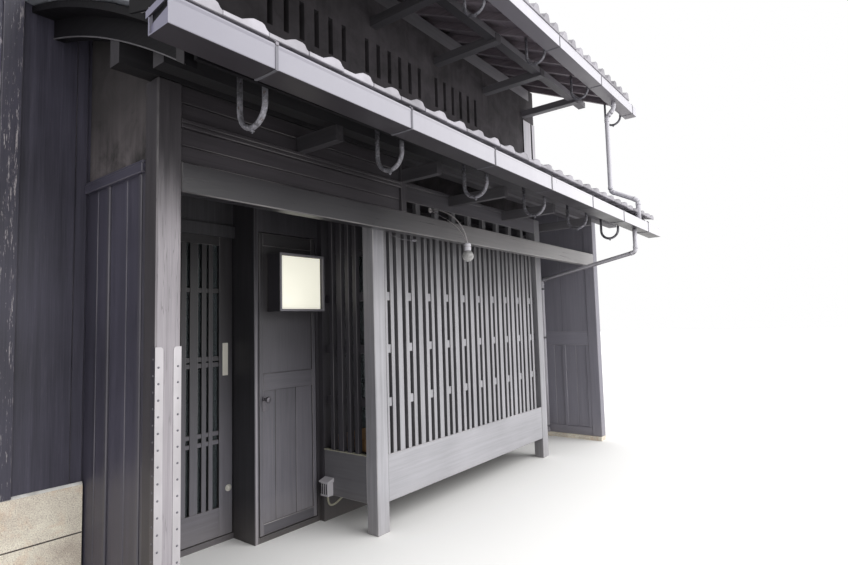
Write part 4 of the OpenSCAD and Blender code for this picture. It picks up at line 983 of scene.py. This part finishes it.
class MACHIYA_OT_cladding(bpy.types.Operator):
    """Wing wall boards with their batten, and the boarded sleeve wall with its rail"""

    bl_idname = "machiya.cladding"
    bl_label = "Wing and sleeve wall"

    def execute(self, context):
        y0, y1, z0, z1 = 780, 800, 705, 4235
        rows = [[-909, y0, z0, -668, y1, z1], [-665, y0, z0, -402, y1, z1],
                [-320, y0, z0, -60, y1, z1], [-57, y0 + 8, z0, 0, y1, z1],
                [-404, y0 - 20, z0, -317, y1, z1],
                [-789, y1, z0, 120, 920, 4520], [0, y1, 0, 120, 920, z0 + 1]]
        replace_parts(timbers("wing_boards", rows, "dark_boards", seed=215), "left_wing_wall")
        z1 = 2262
        rows = [[10, 156, 0, 30, 318, z1], [10, 321, 0, 30, 499, z1],
                [10, 535, 0, 30, 658, z1], [10, 661, 0, 30, 800, z1],
                [25, 121, 0, 108, 800, 2260],
                [-15, 120, 2259, 120, 780, 2306], [-10, 120, 2305, 115, 780, 2321]]
        boards = timbers("sleeve_boards", rows, "dark_boards", arris=0.004, seed=8)
        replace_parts(boards, "left_sleeve_wall")
        rows = [[0, 154, 0, 24, 187, z1], [0, 500, 0, 24, 533, z1], [6, 120, 0, 24, 152, z1]]
        timbers("sleeve_battens", rows, "batten_boards", arris=0.008, seed=9)
        timbers("stone_joint", [-908, 769.4, 453, -1, 772, 460], "dark_mortar", arris=0.0002)
        slab("stone_fillet", [[768, 701], [781, 701], [781, 715], [773, 710]], -908, -1,
             "lime_mortar")
        under_roof("sleeve_plaster", 120, 800, 2318, 12, 20, 100, "eave_plaster")
        return {"FINISHED"}


class MACHIYA_OT_end_wall(bpy.types.Operator):
    """Framed and panelled end wall on the right of the porch"""

    bl_idname = "machiya.end_wall"
    bl_label = "End wall"

    def execute(self, context):
        # The end wall's pale boards hold painted light for the glare over their shade
        f, p, q = 5529, 5543, 5633
        rows = [[5521, 0, 50, 5641, 120, 2825],
                [f, 119, 50, q, 800, 150], [f, 119, 1174, q, 800, 1350],
                *([f, y0, 150, f + 60, y1, 1174] for y0, y1 in ((119, 160), (430, 475),
                                                                (700, 800))),
                *([p, y0, 149, q, y1, 1175] for y0, y1 in ((159, 295), (296, 431), (474, 586),
                                                           (587, 701)))]
        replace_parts(timbers("end_wall_frame", rows, "end_timber", arris=0.004, seed=10),
                    "end_wall")
        for name, low, high in (("a", 119, 458), ("b", 461, 800)):
            under_roof("end_panel_" + name, low, high, 1349, 8, f + 4, q, "end_timber")
        return {"FINISHED"}


class MACHIYA_OT_entrance_leaf(bpy.types.Operator):
    """Sliding lattice door with its kick board, pull plate, lock and glass"""

    bl_idname = "machiya.entrance_leaf"
    bl_label = "Entrance door"

    def execute(self, context):
        y0, y1, z0, z1 = 1109, 1144, 45, 2180
        kick, head = 243, 2110
        bars = [[928, 959], [875, 909], [787, 845], [723, 758], [641, 676], [554, 612],
                [490, 525], [426, 461], [339, 397], [275, 309], [225, 256]]
        rows = [[72, y0, z0, 172, y1, z1], [1008, y0, z0, 1112, y1, z1],
                [172, y0 + 1, z0, 1008, y1, kick], [172, y0 + 1, head, 1008, y1, z1]]
        rows += [[a, y0 + 3, kick, b, y0 + 22, head] for a, b in bars]
        rows += [[172, y0 + 8, z, 1008, y0 + 26, z + 30] for z in (685, 747, 1232, 1275, 1762)]
        leaf = timbers("entrance_leaf", rows, "door_timber", "sliding_door", arris=0.002,
                       seed=11)
        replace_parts(leaf, "entrance_door")
        timbers("entrance_pane", [165, y1 - 7, kick - 3, 1015, y1 - 3, head + 5],
                "window_glass", "sliding_door", arris=0.0005)
        timbers("pull_plate", [1033, y0 - 3, 1165, 1076, y0 + 2, 1399], "sign_plate",
                "sliding_door", arris=0.0015)
        turned("entrance_lock", (1078, y0, 364), (0, -1, 0),
               [(0, 0), (24, 0), (24, 5), (20, 9), (14, 12), (13, 16), (0, 17)],
               "sign_plate", "sliding_door")
        return {"FINISHED"}


class MACHIYA_OT_service_leaf(bpy.types.Operator):
    """Panelled service door with its foot rail, on two hinges, and the casing's strip, pale
    with bleaching and painted light"""

    bl_idname = "machiya.service_leaf"
    bl_label = "Service door"

    def execute(self, context):
        x0, x1, y0, y1 = 1163, 1683, 850, 885
        a, b = x0 + 34, x1 - 34
        panel = 860
        rows = [[x0, y0, 45, a, y1, 2195], [b, y0, 45, x1, y1, 2195],
                [a, y0 + 1, 1047, b, y1, 1170], [a, y0 + 1, 2100, b, y1, 2195],
                [a - 1, panel, 121, 1304, y1 - 1, 1048], [1307, panel, 121, 1491, y1 - 1, 1048],
                [1494, panel, 121, b + 1, y1 - 1, 1048], [a - 1, panel, 1169, b + 1, y1 - 1, 2101]]
        leaf = timbers("service_panels", rows, "door_timber", "service_leaf", arris=0.0025,
                       seed=12)
        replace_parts(leaf, "service_door")
        timbers("service_rail", [a - 20, y0 + 1, 46, b + 20, y1 - 1, 122], "rail_timber",
                "service_leaf", arris=0.004)
        # The casing's strip is pale below the shade line: bleaching with painted light in it
        timbers("casing_strip", [1126, 848.4, 1, 1144, 851, 2690], "strip_timber", arris=0.001)
        for i, z in enumerate((300, 1900)):
            turned(f"service_knuckle_{i}", (1687, 893, z), (0, 0, 1),
                   [(0, 0), (6, 0), (6, 60), (0, 60)], "knob_steel", "service_leaf")
            timbers(f"service_hinge_{i}", [1653, 884, z, 1687, 888, z + 60], "knob_steel",
                    "service_leaf", arris=0.0005)
        return {"FINISHED"}


class MACHIYA_OT_sign(bpy.types.Operator):
    """Lit sign box on the service door: a dark frame round a bare warm white face"""

    bl_idname = "machiya.sign"
    bl_label = "Sign box"

    def execute(self, context):
        x0, x1, z0, z1, y0, y1 = 1234, 1652, 1616, 2040, 698, 850
        a, b, c, d = x0 + 17, x1 - 17, z0 + 17, z1 - 17
        for name, front, back, slot in (("sign_frame", y0 + 9, y1, "dark_timber"),
                                        ("sign_rim", y0, y0 + 10, "box_metal")):
            rows = [[x0, front, z0, a, back, z1], [b, front, z0, x1, back, z1],
                    [a, front, z0, b, back, c], [a, front, d, b, back, z1]]
            box = timbers(name, rows, slot, "service_leaf", arris=0.002)
        timbers("sign_face", [a, y0 + 32, c, b, y1 - 2, d], "sign_panel", "service_leaf",
                arris=0.001)
        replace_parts(box, "sign_box")
        return {"FINISHED"}


class MACHIYA_OT_lower_tiles(bpy.types.Operator):
    """Eave course with its apron, and the pantiles of the lower roof, laid along its curve"""

    bl_idname = "machiya.lower_tiles"
    bl_label = "Lower roof tiles"

    def execute(self, context):
        edges = columns(-319, 5641)
        y = np.linspace(-515, 775, 6)
        pantiles(edges, y, lower_line(y, TILE_LIFT), 5, "lower_tiles")
        eave_course("lower_eave_tiles", edges, -720, -440, 2.672, 2.694, 0.036, 0.026)
        # A dark board along the verge under the end tiles stands for the shade on the tiles' side:
        # painted shade
        slab("verge_board", [[-722, 2612], [-440, 2690], [-440, 2770], [-722, 2716]],
             -328, -318, "barge_timber", "y")
        return {"FINISHED"}


class MACHIYA_OT_upper_tiles(bpy.types.Operator):
    """Eave courses and pantiles of the two upper slopes, from the eaves to the ridge"""

    bl_idname = "machiya.upper_tiles"
    bl_label = "Upper roof tiles"

    def execute(self, context):
        edges = columns(-969, 5701)
        # Slope, depth of the ridge and reach of the eaves, then the height of the front
        # wall's head, its distance from the ridge and the rafters and boards over it
        slope, ridge, reach = 0.45, 4436, 4930
        head, run, cover = 4670, 3636, 135
        top = head + slope * run + cover
        foot = (top - slope * reach + 2) / 1000
        for name, side in (("front", 1), ("rear", -1)):
            out = np.linspace(4796, 90, 23)
            pantiles(edges, ridge - side * out, top + 10 - slope * out, 22,
                     "upper_tiles_" + name)
            eave_course("upper_eave_tiles_" + name, edges, ridge - side * reach,
                        ridge - side * 4700, foot, foot + 0.02, 0.07, 0.068)
        return {"FINISHED"}


class MACHIYA_OT_gutters(bpy.types.Operator):
    """Box gutters of folded sheet with beaded lips, end plates and the lower one's slotted
    street end"""

    bl_idname = "machiya.gutters"
    bl_label = "Gutters"

    def execute(self, context):
        lower = channel("lower_gutter", -356, 5641, 2511, FALL, -785, 1, "gutter_metal")
        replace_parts(lower, "gutters")
        for name, front, side in (("upper", -570, 1), ("rear", 9442, -1)):
            channel(name + "_gutter", -969, 5701, 4000, 0, front, side, "pipe_metal")
        rows = [[5636, -783, 2459, 5640, -652, 2558], [-357, -656, 2516, -352, -650, 2600]]
        timbers("lower_gutter_ends", rows, "gutter_metal", arris=0.001)
        slab("gutter_panel", [[-783, 2516], [-654, 2516], [-654, 2556], [-783, 2588]],
             -348, -345, "gutter_metal")
        slab("gutter_stay", [[-787, 2601], [-636, 2580], [-636, 2607], [-787, 2630]],
             -359, -353, "gutter_metal")
        # A black plate inside the slotted end stands for the shade in the gutter: painted shade
        slab("gutter_inside", [[-781, 2518], [-655, 2518], [-655, 2614], [-781, 2614]],
             -343, -341, "pitch_metal")
        rows = [[x, y, 4003, x + 4, y + 129, 4100] for x in (-966, 5694) for y in (-567, 9310)]
        timbers("upper_gutter_ends", rows, "pipe_metal", arris=0.001)
        return {"FINISHED"}


class MACHIYA_OT_downpipes(bpy.types.Operator):
    """Upper and lower downpipe with socketed elbows, and the clips on the end wall"""

    bl_idname = "machiya.downpipes"
    bl_label = "Downpipes"

    def execute(self, context):
        upper = [[5050, -502, 4000], [5050, -502, 3925], [5050, -418, 3840],
                 [5050, -418, 2965], [5050, -717, 2815], [5050, -717, 2504]]
        lower = [[4860, -717, 2463], [4860, -717, 2215], [5475, 690, 2030], [5475, 690, 60]]
        for name, path, reach, r in (("upper", upper, 34, 25), ("lower", lower, 44, 23)):
            pipe = rod(name + "_downpipe", rounded(path, reach), r, "pipe_metal", sides=24)
            sockets(name + "_sockets", path, reach, r + 3, "pipe_metal")
        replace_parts(pipe, "downpipes")
        levels = (120, 1262, 1900)
        turned("pipe_clips", [[5475, 690, z] for z in levels], (0, 0, 1),
               [(22, 0), (26, 0), (26, 25), (22, 25)], "strap_metal", smooth=False)
        rows = [[5498, 686, z, x, 694, z + 25] for z, x in zip(levels, (5529, 5529, 5533))]
        timbers("pipe_lugs", rows, "strap_metal", arris=0.001)
        return {"FINISHED"}


class MACHIYA_OT_ironwork(bpy.types.Operator):
    """Pole hooks of round bar with their bolts, clips on the lower gutter's straps, and the
    screws of the post guards"""

    bl_idname = "machiya.ironwork"
    bl_label = "Bolts and screws"

    def execute(self, context):
        # Half a ken apart along the lower roof, and under the upper eave
        n = np.arange(6)[:, None]
        low = (170, -495, 2360) + n * (909, 0, 0)
        high = (188, -325, 3905) + n * (1074.2, 0, 0)
        lift, reach, bar = (0, 0, 105), 92, 13
        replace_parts(hoops("lower_hooks", low + lift, reach, bar, (85.9, 187.6), "hook_iron"),
                    "pole_hooks")
        hoops("upper_hooks", high + lift, reach, bar, (120.2, 203.0), "hook_iron")
        turned("hook_bolts", np.concatenate([low, high]), (0, 0, -1),
               [(0, -6), (10, -6), (10, 5), (8, 7), (4, 7), (4, 13), (0, 13)], "hook_iron",
               sides=6, smooth=False)
        x = 80 + 845 * np.arange(7)
        lip = 2616 - FALL * x / 1000
        clips = np.column_stack([x - 9, 0 * x - 791, lip - 8, x + 9, 0 * x - 774, lip + 9])
        timbers("strap_clips", clips, "knob_steel", arris=0.002)
        dome = [(0, -0.5), (5.5, -0.5), (5, 1.2), (3, 2.4), (0, 2.8)]
        z = np.arange(75, 1400, 74)
        for name, way, spots in (("front", (0, -1, 0), ((14, -2, 0), (106, -2, 0))),
                                 ("left", (-1, 0, 0), ((-2, 16, 37),)),
                                 ("right", (1, 0, 0), ((122, 16, 37),))):
            centres = [(x, y, up + lift) for x, y, lift in spots for up in z]
            turned("guard_screws_" + name, centres, way, dome, "strap_metal", sides=10)
        return {"FINISHED"}


class MACHIYA_OT_fittings(bpy.types.Operator):
    """Globe lamp, sensor on its stiff wire, outlet box's ribs and conduit, the warm board behind
    the bay's lattice that paints the lit room's glow, painted cover boards, and the curved
    bargeboard with its worn edge and its painted highlight"""

    bl_idname = "machiya.fittings"
    bl_label = "Fittings"

    def execute(self, context):
        lamp, upright, r = (2350, -178, 2017), (0, 0, 1), 46
        t = np.linspace(0, math.radians(157), 14)
        outer = np.column_stack([r * np.sin(t), -r * np.cos(t)])
        inner = outer[::-1] * (r - 2) / r
        globe = turned("lamp_glass", lamp, upright, [*outer, *inner], "globe_glass")
        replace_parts(globe, "lamp_globe")
        t = np.linspace(0, math.radians(150), 9)
        bulb = np.column_stack([20 * np.sin(t), -20 * np.cos(t) + 4])
        turned("lamp_bulb", lamp, upright, [*bulb, (10, 34), (10, 44), (0, 44)],
               "bulb_glass", sides=20)
        turned("lamp_collar", lamp, upright,
               [(16, 38), (21, 40), (25, 44), (26, 50), (26, 70), (22, 76), (26, 80),
                (26, 93), (20, 100), (8, 104), (0, 104)], "pipe_metal")
        path = bent([[1880, 245, 2206], [1925, 205, 2160], [2000, 190, 2146], [2085, 170, 2155]])
        rod("sensor_wire", path, 2.4, "box_metal", sides=8)
        turned("sensor_head", (2078, 170, 2155), (1, -0.08, 0),
               [(0, 0), (8, 3), (11, 12), (12, 40), (9, 52), (0, 56)], "box_metal", sides=20)
        # A warm board low behind the bay's side lattice stands for the lit room seen between the
        # bars: painted light
        timbers("bay_inner_board", [1806, 390, 549, 2300, 780, 640], "floor_timber")
        rows = [[1660, q, 226, 1664, q + 9, 304] for q in (716, 737, 758, 776)]
        timbers("outlet_ribs", rows, "pitch_metal", arris=0.001)
        path = bent([[1690, 735, 214], [1690, 735, 120], [1700, 700, 120], [1770, 640, 214]])
        rod("outlet_conduit", path, 8, "moss_timber")
        rows = [[x0, 786.4, 3232, x1, 788.6, 4198] for x0, x1 in ((5312, 5519), (5561, 5639))]
        timbers("painted_covers", rows, "cover_timber", arris=0.0006)
        # The bargeboard's lower edge, curved as the roof is, and its worn arris with a painted
        # highlight, then the board up to the tiles
        y = np.linspace(-572, 770, 24)
        t = y - y[0]
        low = 2505 + 0.5733 * t - 0.1123 * t ** 2 / 1000
        corner = np.array([[-183, -1], [-176, -1], [-176, 5], [-183, 5]])
        points = np.stack([np.stack([0 * y + a, y, low + b], -1) for a, b in corner], 1)
        skin("bargeboard_edge", house(points), "edge_timber", smooth=False, way="y")
        foot, top = (np.column_stack([y, z]) for z in (low, lower_line(y, BOARD_LIFT - 1)))
        board = slab("curved_bargeboard", [*foot, *top[::-1]], -181, -130, "barge_timber", "y")
        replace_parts(board, "bargeboard")
        tip = y < -470
        slab("bargeboard_tip", [*foot[tip], *top[tip][::-1]], -184, -180, "roof_timber", "y")
        return {"FINISHED"}


class MACHIYA_PT_panel(bpy.types.Panel):
    """Lists the steps that build the house's finishes"""

    bl_label = "Machiya"
    bl_idname = "MACHIYA_PT_panel"
    bl_space_type = "VIEW_3D"
    bl_region_type = "UI"
    bl_category = "Machiya"

    def draw(self, context):
        for step in STEPS:
            self.layout.operator(step.bl_idname)
        for group in GROUPS:
            for key in GROUPS[group].__annotations__:
                self.layout.prop(getattr(context.scene, group), key)


STEPS = (
    MACHIYA_OT_stage, MACHIYA_OT_frame_finishes, MACHIYA_OT_posts, MACHIYA_OT_lattices,
    MACHIYA_OT_bay_boards, MACHIYA_OT_cladding, MACHIYA_OT_end_wall,
    MACHIYA_OT_entrance_leaf, MACHIYA_OT_service_leaf, MACHIYA_OT_sign,
    MACHIYA_OT_lower_tiles, MACHIYA_OT_upper_tiles, MACHIYA_OT_gutters,
    MACHIYA_OT_downpipes, MACHIYA_OT_ironwork, MACHIYA_OT_fittings,
)
GROUPS = {
    "machiya_colours": MachiyaColours, "machiya_timber": MachiyaTimber,
    "machiya_roof": MachiyaRoof, "machiya_stage": MachiyaStage,
}


def register():
    """Registers the classes and puts the property groups on the scene."""
    for kind in (*GROUPS.values(), *STEPS, MACHIYA_PT_panel):
        bpy.utils.register_class(kind)
    for key, group in GROUPS.items():
        setattr(bpy.types.Scene, key, PointerProperty(type=group))


def unregister():
    """Takes back what register() did."""
    for key in GROUPS:
        delattr(bpy.types.Scene, key)
    for kind in reversed((*GROUPS.values(), *STEPS, MACHIYA_PT_panel)):
        bpy.utils.unregister_class(kind)


def main():
    """Builds the house by its operators in order."""
    register()
    for step in STEPS:
        family, action = step.bl_idname.split(".")
        getattr(getattr(bpy.ops, family), action)()


if __name__ == "__main__":
    main()
